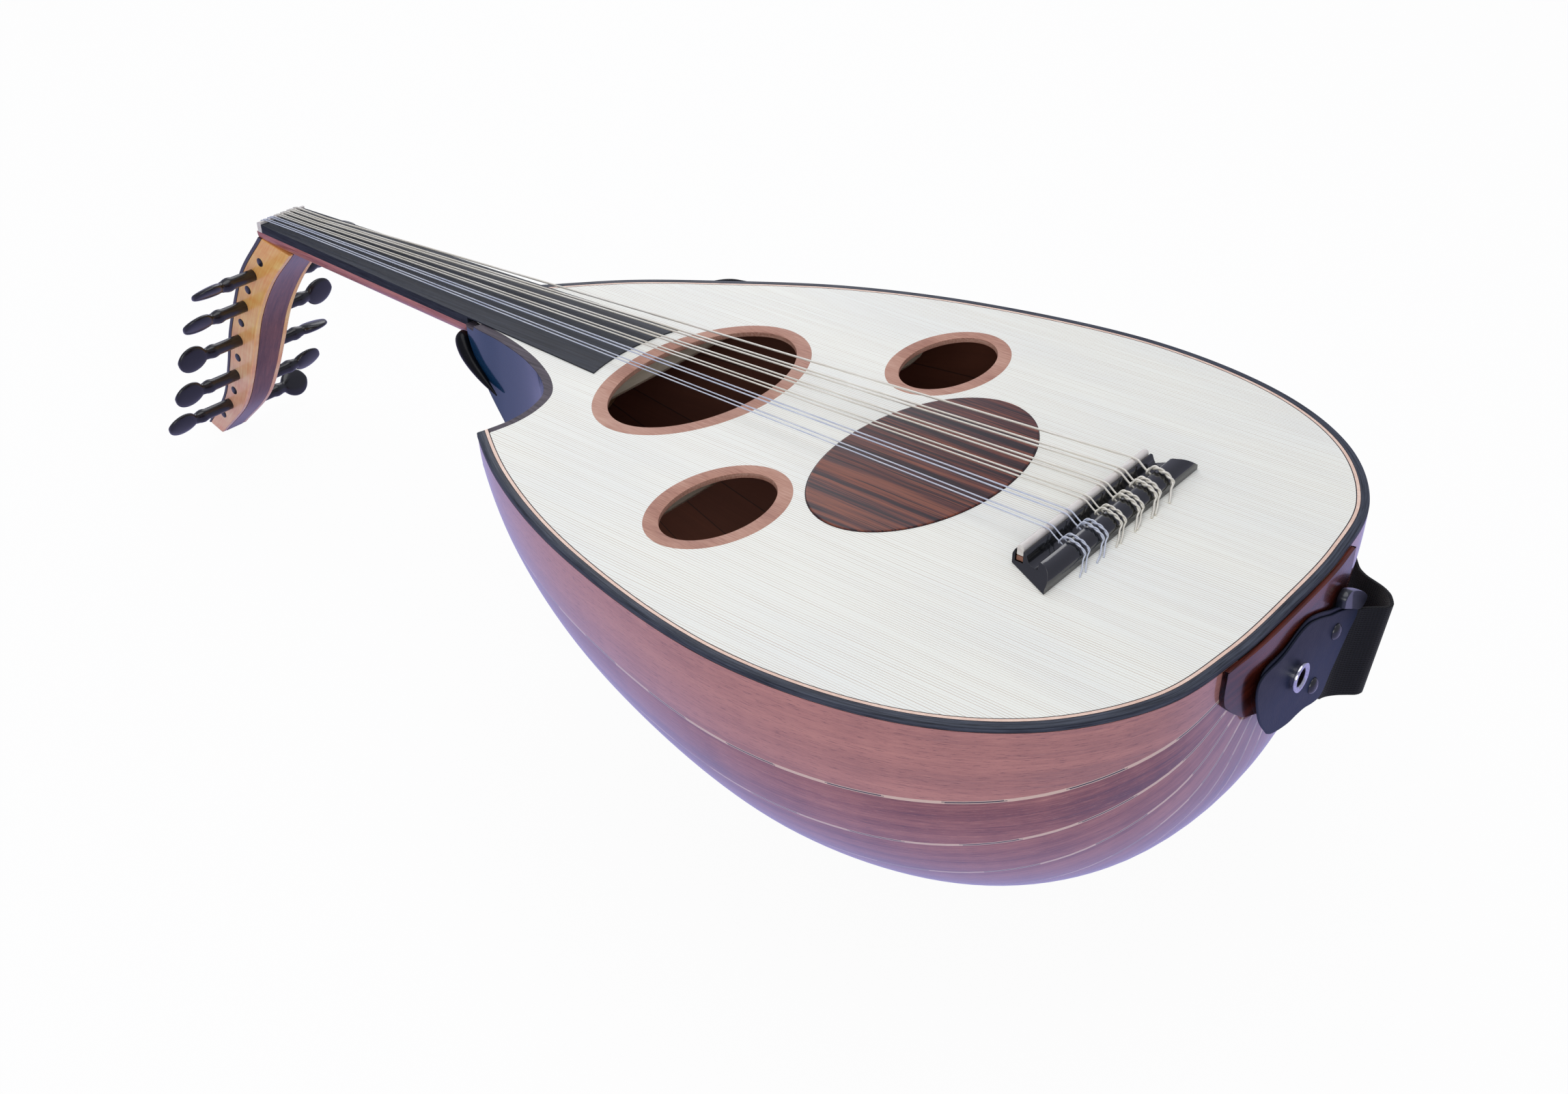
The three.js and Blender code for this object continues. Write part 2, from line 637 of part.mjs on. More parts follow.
// Section of the neck: half a round, a little fuller at its sides
const neck_section_steps = 14;
const neck_fullness_power = 0.8;
function neckRing(x, clearance = 0) {
  const half = neckHalfWidth(x) + clearance;
  const top = fingerboard_rise - fingerboard_thickness - gap + clearance;
  const share = (x - joint_x) / (neck_end_x - joint_x);
  const depth = lerp(neck_depth_at_joint, neck_depth_at_nut, share) + clearance;
  return Array.from({ length: neck_section_steps + 1 }, (_, index) => {
    const angle = (index / neck_section_steps) * Math.PI;
    const bulge = Math.sin(angle) ** neck_fullness_power;
    return new THREE.Vector3(x, -half * Math.cos(angle), lerp(top, -depth, bulge));
  });
}
const neck_shares = [0, 0.33, 0.66, 1];
const neck_rings = neck_shares.map((share) => neckRing(lerp(joint_x - gap, neck_end_x, share)));
addPiece('neck', loft(neck_rings), neck_wood);
const neck_cutter = solidOf(loft(neck_shares.map(
  (share) => neckRing(lerp(joint_x, neck_end_x - gap, share), gap)))).add(boxBetween(
  new THREE.Vector3(neck_end_x - gap, -far_out, fingerboard_rise - fingerboard_thickness - gap),
  new THREE.Vector3(joint_x, far_out, far_out)));

const end_arc = [];
const end_arc_steps = 8;
for (let step = 0; step <= end_arc_steps; step++) {
  const across = lerp(-fingerboard_end_width / 2, fingerboard_end_width / 2, step / end_arc_steps);
  const half_width = large_hole.half_width + fingerboard_to_ring;
  const bow = Math.sqrt(1 - (across / half_width) ** 2);
  end_arc.push(new THREE.Vector2(lerp(large_hole_x, fingerboard_end_x, bow), across));
}
const board_start = nut_x + gap;
const joint_half = neckHalfWidth(joint_x);
const overlay = solidOf(plate([new THREE.Vector2(board_start, neckHalfWidth(board_start)),
  new THREE.Vector2(board_start, -neckHalfWidth(board_start)), ...end_arc], 0, fingerboard_rise));
const thick_board = solidOf(plate([
  new THREE.Vector2(board_start, -neckHalfWidth(board_start)), new THREE.Vector2(joint_x - gap, -joint_half),
  new THREE.Vector2(joint_x - gap, joint_half), new THREE.Vector2(board_start, neckHalfWidth(board_start)),
], fingerboard_rise - fingerboard_thickness, fingerboard_rise));
addPiece('fingerboard', geometryOf(overlay.add(thick_board)), ebony);
const nut_low = fingerboard_rise - fingerboard_thickness;
addPiece('nut', acrossPlate([
  [nut_x - nut_thickness, nut_low], [nut_x, nut_low],
  [nut_x, nut_height], [nut_x - nut_thickness, nut_height - nut_back_drop],
], -nut_width / 2, nut_width / 2), bone);

// Bridge: a saddle slot in front, a valley, and a block that the strings are tied round
const bridge_profile = [
  [-bridge.front, 0], [-bridge.front, bridge.front_height], [-bridge.slot_front, bridge.lip_height],
  [-bridge.slot_front, bridge.slot_floor], [bridge.slot_back, bridge.slot_floor],
  [bridge.slot_back, bridge.lip_height], [bridge.wall_back, bridge.lip_height],
  [bridge.cove, bridge.cove_height],
  [bridge.valley_start, bridge.valley_height], [bridge.valley_end, bridge.valley_height],
  [bridge.tie_front, bridge.tie_height], [bridge.tie_round_start, bridge.tie_height],
  ...tie_round_shares.map(([along, height]) => [
    lerp(bridge.tie_round_start, bridge.back, along), bridge.tie_height * height]),
  [bridge.back, 0],
];
function bridgeEnd(side) {
  const points = [];
  for (let step = 0; step <= bridge_flare_steps; step++) {
    const share = step / bridge_flare_steps;
    const flare = 1 - Math.sqrt(Math.max(1 - share ** bridge_flare_power, 0));
    points.push(new THREE.Vector2(lerp(-bridge.front - gap, bridge.back + gap, share),
      bridge_side_shift + side * lerp(bridge.front_half_length, bridge.tie_half_length, flare)));
  }
  return points;
}
const bridge_plan = [...bridgeEnd(-1), ...bridgeEnd(1).reverse()];
let bridge_solid = solidOf(acrossPlate(bridge_profile, bridge_side_shift - bridge.tie_half_length - overrun,
  bridge_side_shift + bridge.tie_half_length + overrun))
  .intersect(solidOf(plate(bridge_plan, -overrun, saddle_top + overrun)));

// Where each string lies: its side place at the saddle and at the nut
const string_count = string_diameters.length;
const strings = string_diameters.map((diameter, index) => {
  const course = Math.floor(index / 2);
  const single = course === course_count - 1;
  const side = single || index % 2 === 0 ? -1 / 2 : 1 / 2;
  const middle = (course_count - 1) / 2;
  return {
    diameter,
    at_saddle: first_course_at_bridge + course * bridge_course_spacing + side * bridge_pair_gap,
    at_nut: (course - middle) * nut_course_spacing + side * nut_pair_gap,
  };
});
for (const string of strings) {
  const hole = turned([
    [0, 0], [string_hole_radius, 0], [string_hole_radius, near_out], [0, near_out],
  ], string_hole_sides).rotateZ(-Math.PI / 2)
    .translate(bridge.valley_start, string.at_saddle, string_hole_height);
  bridge_solid = bridge_solid.subtract(solidOf(hole));
}
addPiece('bridge', geometryOf(bridge_solid), glossy_black);
const saddle_start = bridge_side_shift - bridge.front_half_length + saddle_end_inset;
const saddle_end = bridge_side_shift + bridge.front_half_length - saddle_end_inset;
const saddle_low = bridge.slot_floor + gap + pickup_height + gap;
const saddle_round = (bridge.slot_front + bridge.slot_back) / 2 - gap;
const saddle_middle = (bridge.slot_back - bridge.slot_front) / 2;
const saddle_front_x = saddle_middle - saddle_round;
const saddle_back_x = saddle_middle + saddle_round;
const saddle_profile = [[saddle_front_x, saddle_low], [saddle_back_x, saddle_low]];
for (const angle of saddle_round_degrees) {
  const turn = THREE.MathUtils.degToRad(angle);
  saddle_profile.push([saddle_middle + saddle_round * Math.cos(turn),
    saddle_top - saddle_round * (1 - Math.sin(turn))]);
}
addPiece('saddle', acrossPlate(saddle_profile, saddle_start, saddle_end), bone);
addPiece('pickup_strip', acrossPlate([
  [saddle_front_x, bridge.slot_floor + gap], [saddle_back_x, bridge.slot_floor + gap],
  [saddle_back_x, saddle_low - gap], [saddle_front_x, saddle_low - gap],
], saddle_start, saddle_end), dark_rosewood);

// Pegbox: two cheeks, and a back between them that closes the lower end
function pegboxCurve(shares) {
  return new THREE.CatmullRomCurve3(shares.map(([reach, drop]) => new THREE.Vector3(
    neck_end_x - pegbox.reach * reach, 0, -pegbox.top_drop - pegbox.drop * drop)), false, 'centripetal');
}
const front_curve = pegboxCurve(pegbox_front_shares);
const back_curve = pegboxCurve(pegbox_back_shares);
function pegboxAt(share, depth_share) {
  return front_curve.getPointAt(share).lerp(back_curve.getPointAt(share), depth_share);
}
function pegboxHalfWidth(share) {
  return lerp(pegbox.top_half_width, pegbox.end_half_width, share ** pegbox_taper_power);
}
function sideways(point, across) {
  return new THREE.Vector3(point.x, across, point.z);
}
const peg_places = Array.from({ length: peg_count }, (_, index) => {
  const share = first_peg_share + peg_step_share * index;
  return { share, side: index % 2 === 0 ? 1 : -1, center: pegboxAt(share, peg_depth_share) };
});
function pegHoles() {
  return peg_places.map(({ center }) => {
    const radius = (peg.head_radius + peg_hole_clearance) / Math.cos(Math.PI / peg_sides);
    return solidOf(turned([[0, -far_out], [radius, -far_out], [radius, far_out], [0, far_out]], peg_sides)
      .translate(center.x, 0, center.z));
  });
}
const all_peg_holes = pegHoles();
function cheekGeometry(side) {
  const outer = [];
  const inner = [];
  for (let step = 0; step <= pegbox.steps; step++) {
    const share = step / pegbox.steps;
    const half = pegboxHalfWidth(share);
    const front = pegboxAt(share, 0);
    const back = pegboxAt(share, 1);
    outer.push([sideways(front, side * half), sideways(back, side * half)]);
    inner.push([sideways(front, side * (half - pegbox.cheek_thickness)),
      sideways(back, side * (half - pegbox.cheek_thickness))]);
  }
  return shell(outer, inner);
}
for (const [name, side] of [['pegbox_cheek_treble', -1], ['pegbox_cheek_bass', 1]]) {
  let cheek = solidOf(cheekGeometry(side)).subtract(neck_cutter);
  for (const hole of all_peg_holes) cheek = cheek.subtract(hole);
  addPiece(name, geometryOf(largestOf(cheek)), cheek_wood);
}
const back_outer = [];
const back_inner = [];
const back_stations = stationsBetween(0, pegbox_end_shares[0], pegbox.steps);
for (const share of [...back_stations, ...pegbox_end_shares.slice(1), 1]) {
  const half = pegboxHalfWidth(share) - pegbox.cheek_thickness - gap;
  const back = pegboxAt(share, 1);
  const front = pegboxAt(share, 0);
  const closed = share > pegbox_end_shares[0];
  const depth_share = pegbox.back_thickness / back.distanceTo(front);
  const face = closed ? front : back.clone().lerp(front, depth_share);
  back_outer.push([sideways(back, -half), sideways(back, half)]);
  back_inner.push([sideways(face, -half), sideways(face, half)]);
}
addPiece('pegbox_back', geometryOf(largestOf(solidOf(shell(back_outer, back_inner)).subtract(neck_cutter))),
  pegbox_back_wood);

// Pegs: a tapered shaft through both cheeks, a collar and an oval disc for the fingers
function pegGeometry(place, turn) {
  const half = pegboxHalfWidth(place.share);
  const tip = -half - peg.tip_past_cheek;
  const disc_start = peg.head_to_axis - peg.disc_half_length;
  const neck_start = disc_start - peg.neck_length;
  const collar_start = neck_start - peg.collar_thickness;
  const shaft = solidOf(turned([
    [0, tip], [peg.tip_radius, tip], [peg.head_radius, half + gap], [peg.head_radius, collar_start],
    [peg.collar_radius, lerp(collar_start, neck_start, 1 / 2)],
    [peg.collar_radius * peg_collar_end_share, neck_start],
    [peg.tip_radius, lerp(neck_start, disc_start, 1 / 2)],
    [peg.tip_radius, peg.head_to_axis], [0, peg.head_to_axis],
  ], peg_sides));
  const disc = turned(peg_disc_shares, peg_sides);
  disc.scale(peg.disc_half_width, peg.disc_half_thickness, peg.disc_half_length);
  disc.rotateX(Math.PI / 2);
  disc.translate(0, peg.head_to_axis, 0);
  const geometry = geometryOf(shaft.add(solidOf(disc)));
  geometry.rotateY(THREE.MathUtils.degToRad(turn));
  if (place.side < 0) geometry.rotateZ(Math.PI);
  geometry.translate(place.center.x, 0, place.center.z);
  return geometry;
}
peg_places.forEach((place, index) => {
  addPiece(numbered('peg', index), pegGeometry(place, peg_turns[index]), polished_black);
});

// Strings: round the tie block, over the saddle and the nut, and down the pegbox to their pegs
function stringPeg(index) {
  const from_bass = string_count - 1 - index;
  return index <= from_bass - 1 ? 2 * index + 1 : 2 * from_bass;
}
function stringPath(string, index) {
  const radius = string.diameter / 2;
  const peg_index = stringPeg(index);
  const over_saddle = saddle_top + radius + gap;
  const over_nut = nut_height + radius + gap;
  const path = [
    new THREE.Vector3(bridge.back + string_tail_reach, string.at_saddle, string_hole_height - radius),
    new THREE.Vector3(bridge.back + gap, string.at_saddle, string_hole_height),
    new THREE.Vector3(bridge.tie_front - gap, string.at_saddle, string_hole_height),
    new THREE.Vector3(saddle_back_x, string.at_saddle, over_saddle - radius),
    new THREE.Vector3(saddle_front_x, string.at_saddle, over_saddle),
    new THREE.Vector3(nut_x, string.at_nut, over_nut),
    new THREE.Vector3(nut_x - nut_thickness - gap, string.at_nut, over_nut - nut_back_drop),
  ];
  for (const place of peg_places.slice(0, peg_index + 1)) {
    const toward_front = pegboxAt(place.share, 0).sub(place.center).normalize();
    const off_axis = peg.head_radius + string_over_peg + radius;
    const point = place.center.clone().addScaledVector(toward_front, off_axis);
    point.y = string.at_nut * pegbox_spread_share;
    path.push(point);
  }
  return path;
}
strings.forEach((string, index) => {
  const wound = index >= clear_string_count;
  const geometry = rod(stringPath(string, index), string.diameter / 2, string_sides);
  addPiece(numbered('string', index), geometry, wound ? wound_string : nylon);
});

// End-pin jack: a tube through the clasp and the tail block, open at its outer end
const tab_low = tail_x + clasp.thickness + strap_tab.off_clasp;
const ring_seat = tab_low + strap_tab.thickness + jack.ring_off_leather - tail_x;
const ring_face = ring_seat + jack.ring_thickness;
const bore_end = -jack.inner_reach + jack.wall;
addPiece('end_pin_jack', turned([
  [0, -jack.inner_reach], [jack.barrel_radius, -jack.inner_reach], [jack.barrel_radius, ring_seat],
  [jack.ring_radius, ring_seat], [jack.ring_radius, ring_face], [jack.mouth_radius, ring_face],
  [jack.bore_radius, ring_face - jack.mouth_depth], [jack.bore_radius, bore_end], [0, bore_end],
], fitting_sides).rotateZ(-Math.PI / 2).translate(tail_x, 0, -jack.drop), chrome);

// Leather end of the strap, held on the jack
const tab_top = -strap_tab.drop + strap_tab.half_height;
const tab_bottom = -strap_tab.drop - strap_tab.half_height;
const tabPoint = (reach, across, up) => [reach * across, -strap_tab.drop + strap_tab.half_height * up];
const tab_outline = [
  ...strap_tab_left_shares.map(([across, up]) => tabPoint(-strap_tab.left, across, up)),
  [strap_tab.right * strap_tab_right_share, tab_top],
  [strap_tab.right + strap_tab.slant, tab_top - strap_tab.slant_drop],
  [strap_tab.right - strap_tab.slant / 2, tab_bottom],
  ...strap_tab_foot_shares.map(([across, up]) => (
    tabPoint(across > 0 ? strap_tab.right : strap_tab.left, across, up))),
];
const leather_sheet = solidOf(alongPlate(tab_outline, tab_low, tab_low + strap_tab.thickness));
addPiece('strap_leather_end', geometryOf(leather_sheet.subtract(jack_hole)), leather_black);

// Webbing: from behind the leather end, round a small loop and along the far side of the bowl to its button
const strap_clear = strap.off_bowl + strap.thickness / 2;
const sewn_x = tab_low - strap.off_leather - strap.thickness / 2;
const loop_start = strap_tab.right + strap_tab.slant + strap.thickness + strap.off_leather;
const run_start = shareWhere((m) => m.radius <= strap.run_start_radius, widest_share);
const run_steps = 16;
const strap_route = [
  new THREE.Vector3(sewn_x, strap_tab.right - strap_tab.sewn_length, 0),
  ...strap_loop_shares.map(([out, side]) => new THREE.Vector3(
    sewn_x + strap.loop_radius * out, loop_start + strap.loop_radius * side, 0)),
];
const run_end = shareWhere((m) => m.x >= button_seat.x - strap.past_button);
function strapEdges(x) {
  const progress = (meridian(run_start).x - x) / (meridian(run_start).x - button_seat.x);
  const rise = THREE.MathUtils.smoothstep(progress, ...strap_rise_shares);
  const narrowing = THREE.MathUtils.smoothstep(progress, ...strap_narrow_shares);
  const drop = lerp(strap.drop, strap_button.drop, rise);
  const half = lerp(strap.width, strap.end_width, narrowing) / 2;
  return { low: -drop - half, high: -drop + half };
}
for (let step = 0; step <= run_steps; step++) {
  const share = lerp(run_start, run_end, step / run_steps);
  const depth = Math.max(-strapEdges(meridian(share).x).high, 0);
  strap_route.push(farFace(share, depth, strap_clear));
}
const strap_curve = new THREE.CatmullRomCurve3(strap_route, false, 'centripetal');
const strap_steps = 46;
const strap_rows = Array.from({ length: strap_steps + 1 }, (_, step) => {
  const share = step / strap_steps;
  const middle = strap_curve.getPointAt(share);
  const along = strap_curve.getTangentAt(share);
  const across = new THREE.Vector3(along.y, -along.x, 0).multiplyScalar(strap.thickness / 2);
  return { middle, across, ...strapEdges(middle.x) };
});
function strapSide(sign) {
  return strap_rows.map(({ middle, across, low, high }) => {
    const edge = middle.clone().addScaledVector(across, sign);
    return [new THREE.Vector3(edge.x, edge.y, low), new THREE.Vector3(edge.x, edge.y, high)];
  });
}

const webbing = solidOf(shell(strapSide(1), strapSide(-1))).subtract(button_hole);
addPiece('strap_webbing', geometryOf(largestOf(webbing)), webbing_black);
addPiece('strap_button', geometryOf(buttonPiece([
  [0, -strap_button.screw_length], [strap_button.stem_radius, -strap_button.screw_length],
  [strap_button.stem_radius, strap_button.head_start], [strap_button.radius, strap_button.head_start],
  [strap_button.radius, strap_button.head_start + strap_button.head_thickness],
  [0, strap_button.head_start + strap_button.head_thickness],
])), chrome);

// Move the whole oud, so that the middle of its foot print is the origin
const bounds = new THREE.Box3().setFromObject(group);
group.position.set(-(bounds.min.x + bounds.max.x) / 2, -(bounds.min.y + bounds.max.y) / 2, -bounds.min.z);
group.updateMatrixWorld(true);

export default group;
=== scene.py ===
# %% [markdown]
# # An electric oud with a cutaway
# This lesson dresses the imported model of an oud, a short-necked lute that lies here on its back. The packed
# model is exact but plain: its bowl is faceted and its colours are flat. Each step below makes one piece
# again as a smooth surface, in the place of the plain one, and gives it the finish of the real material.

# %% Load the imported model
import math

import bpy
import numpy as np
from mathutils import Matrix, Vector
from mathutils.geometry import tessellate_polygon


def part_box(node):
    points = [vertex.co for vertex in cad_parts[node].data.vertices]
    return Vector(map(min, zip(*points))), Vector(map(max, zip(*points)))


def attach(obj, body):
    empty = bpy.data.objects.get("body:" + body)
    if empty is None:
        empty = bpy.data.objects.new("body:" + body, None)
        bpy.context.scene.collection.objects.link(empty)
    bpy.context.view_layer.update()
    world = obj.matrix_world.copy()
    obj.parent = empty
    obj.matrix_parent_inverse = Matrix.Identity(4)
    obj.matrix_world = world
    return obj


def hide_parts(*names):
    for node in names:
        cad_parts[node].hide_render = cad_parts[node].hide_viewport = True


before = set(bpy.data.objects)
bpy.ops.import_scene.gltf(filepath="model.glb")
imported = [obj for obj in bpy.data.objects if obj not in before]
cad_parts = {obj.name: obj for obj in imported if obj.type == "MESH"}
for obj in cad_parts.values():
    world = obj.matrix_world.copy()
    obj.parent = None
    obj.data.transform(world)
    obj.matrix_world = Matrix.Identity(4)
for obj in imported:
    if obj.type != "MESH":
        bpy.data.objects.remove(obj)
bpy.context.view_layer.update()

# %% [markdown]
# ## Where things are
# An oud is drawn from its saddle: x runs along the strings toward the tail, y crosses the soundboard, and z
# is the height over the soundboard, all in millimetres. Blender works in metres from the middle of the
# footprint, so one small function turns the first into the second. The big ring round the sound hole says
# where the saddle is.

# %% The maker's own coordinates
MM_PER_M, RING_TO_SADDLE = 1000, 227.756
ring_low, ring_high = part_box("soundhole_ring_large")
origin = np.array([(ring_low.x + ring_high.x) / 2 + RING_TO_SADDLE / MM_PER_M,
                   (ring_low.y + ring_high.y) / 2, ring_high.z])


def metres(points):
    """Places in millimetres from the saddle, as places in metres in the scene."""
    return origin + np.asarray(points, float) / MM_PER_M


print("the saddle stands at", origin.round(4))

# %% [markdown]
# ## Camera and light
# The camera stands where the photographer stood: about 0.9 m away on the cutaway side, looking down at the
# tail end. The light is that of a plain studio, one large soft panel overhead and a weaker one on each
# side, so that a colour comes out about as it is written. The world is white where the camera sees it, and
# dimmer and a little lilac where it lights the oud or is mirrored in it.

# %% Camera
CAMERA_PLACE = (0.62773, -0.61836, 0.61759)
AZIMUTH, ELEVATION, ROLL = 39.711, 32.697, -0.715
PHOTO_WIDTH, FOCAL_PIXELS, SENSOR_WIDTH = 2296, 2600.76, 36

camera_data = bpy.data.cameras.new("camera")
camera_data.sensor_width = SENSOR_WIDTH
camera_data.lens = FOCAL_PIXELS * SENSOR_WIDTH / PHOTO_WIDTH
camera = bpy.data.objects.new("camera", camera_data)
camera.matrix_world = (Matrix.Translation(CAMERA_PLACE) @ Matrix.Rotation(math.radians(AZIMUTH), 4, "Z")
                       @ Matrix.Rotation(math.radians(90 - ELEVATION), 4, "X")
                       @ Matrix.Rotation(math.radians(ROLL), 4, "Z"))
bpy.context.scene.collection.objects.link(camera)
bpy.context.scene.camera = camera
bpy.context.scene.view_settings.view_transform = "Standard"
print("lens of", round(camera_data.lens, 2), "mm")

# %% Lamps
# Each lamp's name, its place and width in metres, and its power in watts.
LAMPS = (("panel_over", (0.0, 0.1, 1.9), 1.8, 12.2), ("panel_near", (0.9, -1.7, 0.9), 1.2, 7.4),
         ("panel_far", (-1.3, 1.3, 1.1), 1.2, 5.4))
AIM = Vector((0, 0, 0.1))

for name, place, size, watts in LAMPS:
    lamp = bpy.data.lights.new(name, "AREA")
    lamp.shape = "DISK"
    lamp.size, lamp.energy = size, watts
    panel = bpy.data.objects.new(name, lamp)
    panel.location = place
    panel.rotation_euler = (Vector(place) - AIM).to_track_quat("Z", "Y").to_euler()
    bpy.context.scene.collection.objects.link(panel)
    print(name, watts, "W")

# %% [markdown]
# ## A small tool for materials
# Every finish is worked out from nodes, and a wood needs thirty or more of them. Two small classes keep that
# readable: `Paint` adds nodes to one material, and `Value` wraps a socket, so that sums are written as sums.

# %% Materials written as sums


class Value:
    """A number that a material works out at each place, so that + - * and / add a Math node."""

    def __init__(self, paint, socket):
        self.paint, self.socket = paint, socket

    def math(self, operation, other, turned=False):
        pair = (other, self) if turned else (self, other)
        return self.paint.node("Math", {"operation": operation}, {0: pair[0], 1: pair[1]})

    def __add__(self, other):
        return self.math("ADD", other)

    def __radd__(self, other):
        return self.math("ADD", other, True)

    def __sub__(self, other):
        return self.math("SUBTRACT", other)

    def __rsub__(self, other):
        return self.math("SUBTRACT", other, True)

    def __mul__(self, other):
        return self.math("MULTIPLY", other)

    def __rmul__(self, other):
        return self.math("MULTIPLY", other, True)

    def __truediv__(self, other):
        return self.math("DIVIDE", other)

    def __rtruediv__(self, other):
        return self.math("DIVIDE", other, True)


class Paint:
    """One material: constants go on the shader's own sockets, and node() adds any other node."""

    def __init__(self, name, **constants):
        self.material = bpy.data.materials.new(name)
        self.material.use_nodes = True
        self.tree = self.material.node_tree
        self.shader = self.tree.nodes["Principled BSDF"]
        for socket, value in constants.items():
            self.shader.inputs[socket.replace("_", " ")].default_value = value

    def node(self, kind, settings=None, inputs=None, output=0):
        """A new node with its settings and its sockets' numbers or links, as the value that it gives."""
        made = self.tree.nodes.new("ShaderNode" + kind)
        for key, value in (settings or {}).items():
            setattr(made, key, value)
        for key, value in (inputs or {}).items():
            if isinstance(value, Value):
                self.tree.links.new(value.socket, made.inputs[key])
            else:
                made.inputs[key].default_value = value
        return Value(self, made.outputs[output])

    def feed(self, socket, value):
        self.tree.links.new(value.socket, self.shader.inputs[socket])

    def place(self):
        """The place on the object in millimetres, counted from the saddle."""
        here = self.node("TexCoord", output="Object")
        here = self.node("VectorMath", {"operation": "SUBTRACT"}, {0: here, 1: tuple(origin)})
        return self.node("VectorMath", {"operation": "SCALE"}, {0: here, "Scale": MM_PER_M})

    def lay(self):
        """The place on a piece's own map in millimetres, along it and across it."""
        here = self.node("UVMap", {"uv_map": "lay"})
        return self.node("VectorMath", {"operation": "SCALE"}, {0: here, "Scale": MM_PER_M})

    def part(self, vector, axis):
        return self.node("SeparateXYZ", inputs={0: vector}, output=axis)

    def vector(self, x, y, z=0.0):
        return self.node("CombineXYZ", inputs={0: x, 1: y, 2: z})

    def single(self, operation, value):
        """A Math node that works on one number, such as its sine."""
        return self.node("Math", {"operation": operation}, {0: value})

    def stretched(self, vector, stretch):
        return self.node("VectorMath", {"operation": "MULTIPLY"}, {0: vector, 1: stretch})

    def noise(self, vector, detail=3.0, rough=0.55, scale=1.0):
        return self.node("TexNoise", {"noise_dimensions": "3D"}, {
            "Vector": vector, "Scale": scale, "Detail": detail, "Roughness": rough}, "Fac")

    def figure(self, vector, stretch, detail=3.0, rough=0.55):
        """Noise drawn out as grain is: a small factor along a way makes it long that way."""
        return self.noise(self.stretched(vector, stretch), detail, rough)

    def mark(self, name):
        """A number kept on each point of the mesh under this name."""
        return self.node("Attribute", {"attribute_name": name}, output="Fac")

    def between(self, value, low, high, start=0.0, end=1.0):
        """start where value is low, end where it is high, and a smooth turn between them."""
        return self.node("MapRange", {"interpolation_type": "SMOOTHSTEP"}, {
            "Value": value, "From Min": low, "From Max": high, "To Min": start, "To Max": end})

    def ramp(self, value, stops):
        """Colours at their places from 0 to 1, and a straight blend between two of them."""
        made = self.node("ValToRGB", inputs={0: value})
        blend = made.socket.node.color_ramp
        while len(blend.elements) < len(stops):
            blend.elements.new(1.0)
        for element, (place, colour) in zip(blend.elements, stops):
            element.position, element.color = place, colour
        return made

    def mix(self, share, first, second):
        return self.node("Mix", {"data_type": "RGBA"}, {0: share, 6: first, 7: second}, 2)

    def bump(self, height, distance, strength=1.0):
        """A height from 0 to 1 as a relief of so many millimetres."""
        self.feed("Normal", self.node("Bump", inputs={
            "Strength": strength, "Distance": distance / MM_PER_M, "Height": height}))


def rgb(red, green, blue):
    """A colour as a screen shows it, 0 to 255, as Blender's linear colour, by the sRGB formula."""
    share = np.array([red, green, blue]) / 255
    return (*np.where(share <= 0.04045, share / 12.92, ((share + 0.055) / 1.055) ** 2.4), 1.0)


print("white is", rgb(255, 255, 255))

# %% [markdown]
# ## Floor and background
# The photograph has a white background, so the floor is a pale sheet that a camera ray sees mostly as plain
# white, with a soft shadow under the oud. A gloss ray sees the same pale floor, a little lilac, as the
# reflections in the photograph are.

# %% Floor
FLOOR_HALF, WHITE_SHARE, LILAC_SHARE = 8, 0.96, 0.9

floor_mesh = bpy.data.meshes.new("floor")
floor_corners = [(FLOOR_HALF * x, FLOOR_HALF * y, 0) for x, y in ((-1, -1), (1, -1), (1, 1), (-1, 1))]
floor_mesh.from_pydata(floor_corners, [], [(0, 1, 2, 3)])
floor = bpy.data.objects.new("floor", floor_mesh)
bpy.context.scene.collection.objects.link(floor)

floor_paint = Paint("floor", Base_Color=rgb(232, 231, 238), Roughness=0.9, Specular_IOR_Level=0.0)
from_camera, from_gloss = (floor_paint.node("LightPath", output=name)
                           for name in ("Is Camera Ray", "Is Glossy Ray"))
white = floor_paint.node("Emission", inputs={"Color": (1, 1, 1, 1), "Strength": 1.0})
lilac = floor_paint.node("Emission", inputs={"Color": rgb(188, 184, 244), "Strength": 0.8})
shaded = Value(floor_paint, floor_paint.shader.outputs[0])
seen = floor_paint.node("MixShader", inputs={0: from_camera * WHITE_SHARE, 1: shaded, 2: white})
seen = floor_paint.node("MixShader", inputs={0: from_gloss * LILAC_SHARE, 1: seen, 2: lilac})
floor_paint.tree.links.new(seen.socket, floor_paint.tree.nodes["Material Output"].inputs["Surface"])
floor_mesh.materials.append(floor_paint.material)
print("the floor is", 2 * FLOOR_HALF, "m wide")

# %% World
world = bpy.data.worlds.new("studio")
bpy.context.scene.world = world
world.use_nodes = True
world_nodes, world_links = world.node_tree.nodes, world.node_tree.links
path = world_nodes.new("ShaderNodeLightPath")
glossy = world_nodes.new("ShaderNodeMath")
glossy.operation = "MAXIMUM"
world_links.new(path.outputs["Is Glossy Ray"], glossy.inputs[0])
world_links.new(path.outputs["Is Transmission Ray"], glossy.inputs[1])
plain, mirrored, backdrop = (world_nodes.new("ShaderNodeBackground") for _ in range(3))
for shade, colour, strength in ((plain, (0.93, 0.94, 1.0, 1), 0.5), (mirrored, (0.78, 0.79, 1.0, 1), 0.45),
                                (backdrop, (1, 1, 1, 1), 1.0)):
    shade.inputs["Color"].default_value = colour
    shade.inputs["Strength"].default_value = strength
lit_or_mirrored, or_seen = (world_nodes.new("ShaderNodeMixShader") for _ in range(2))
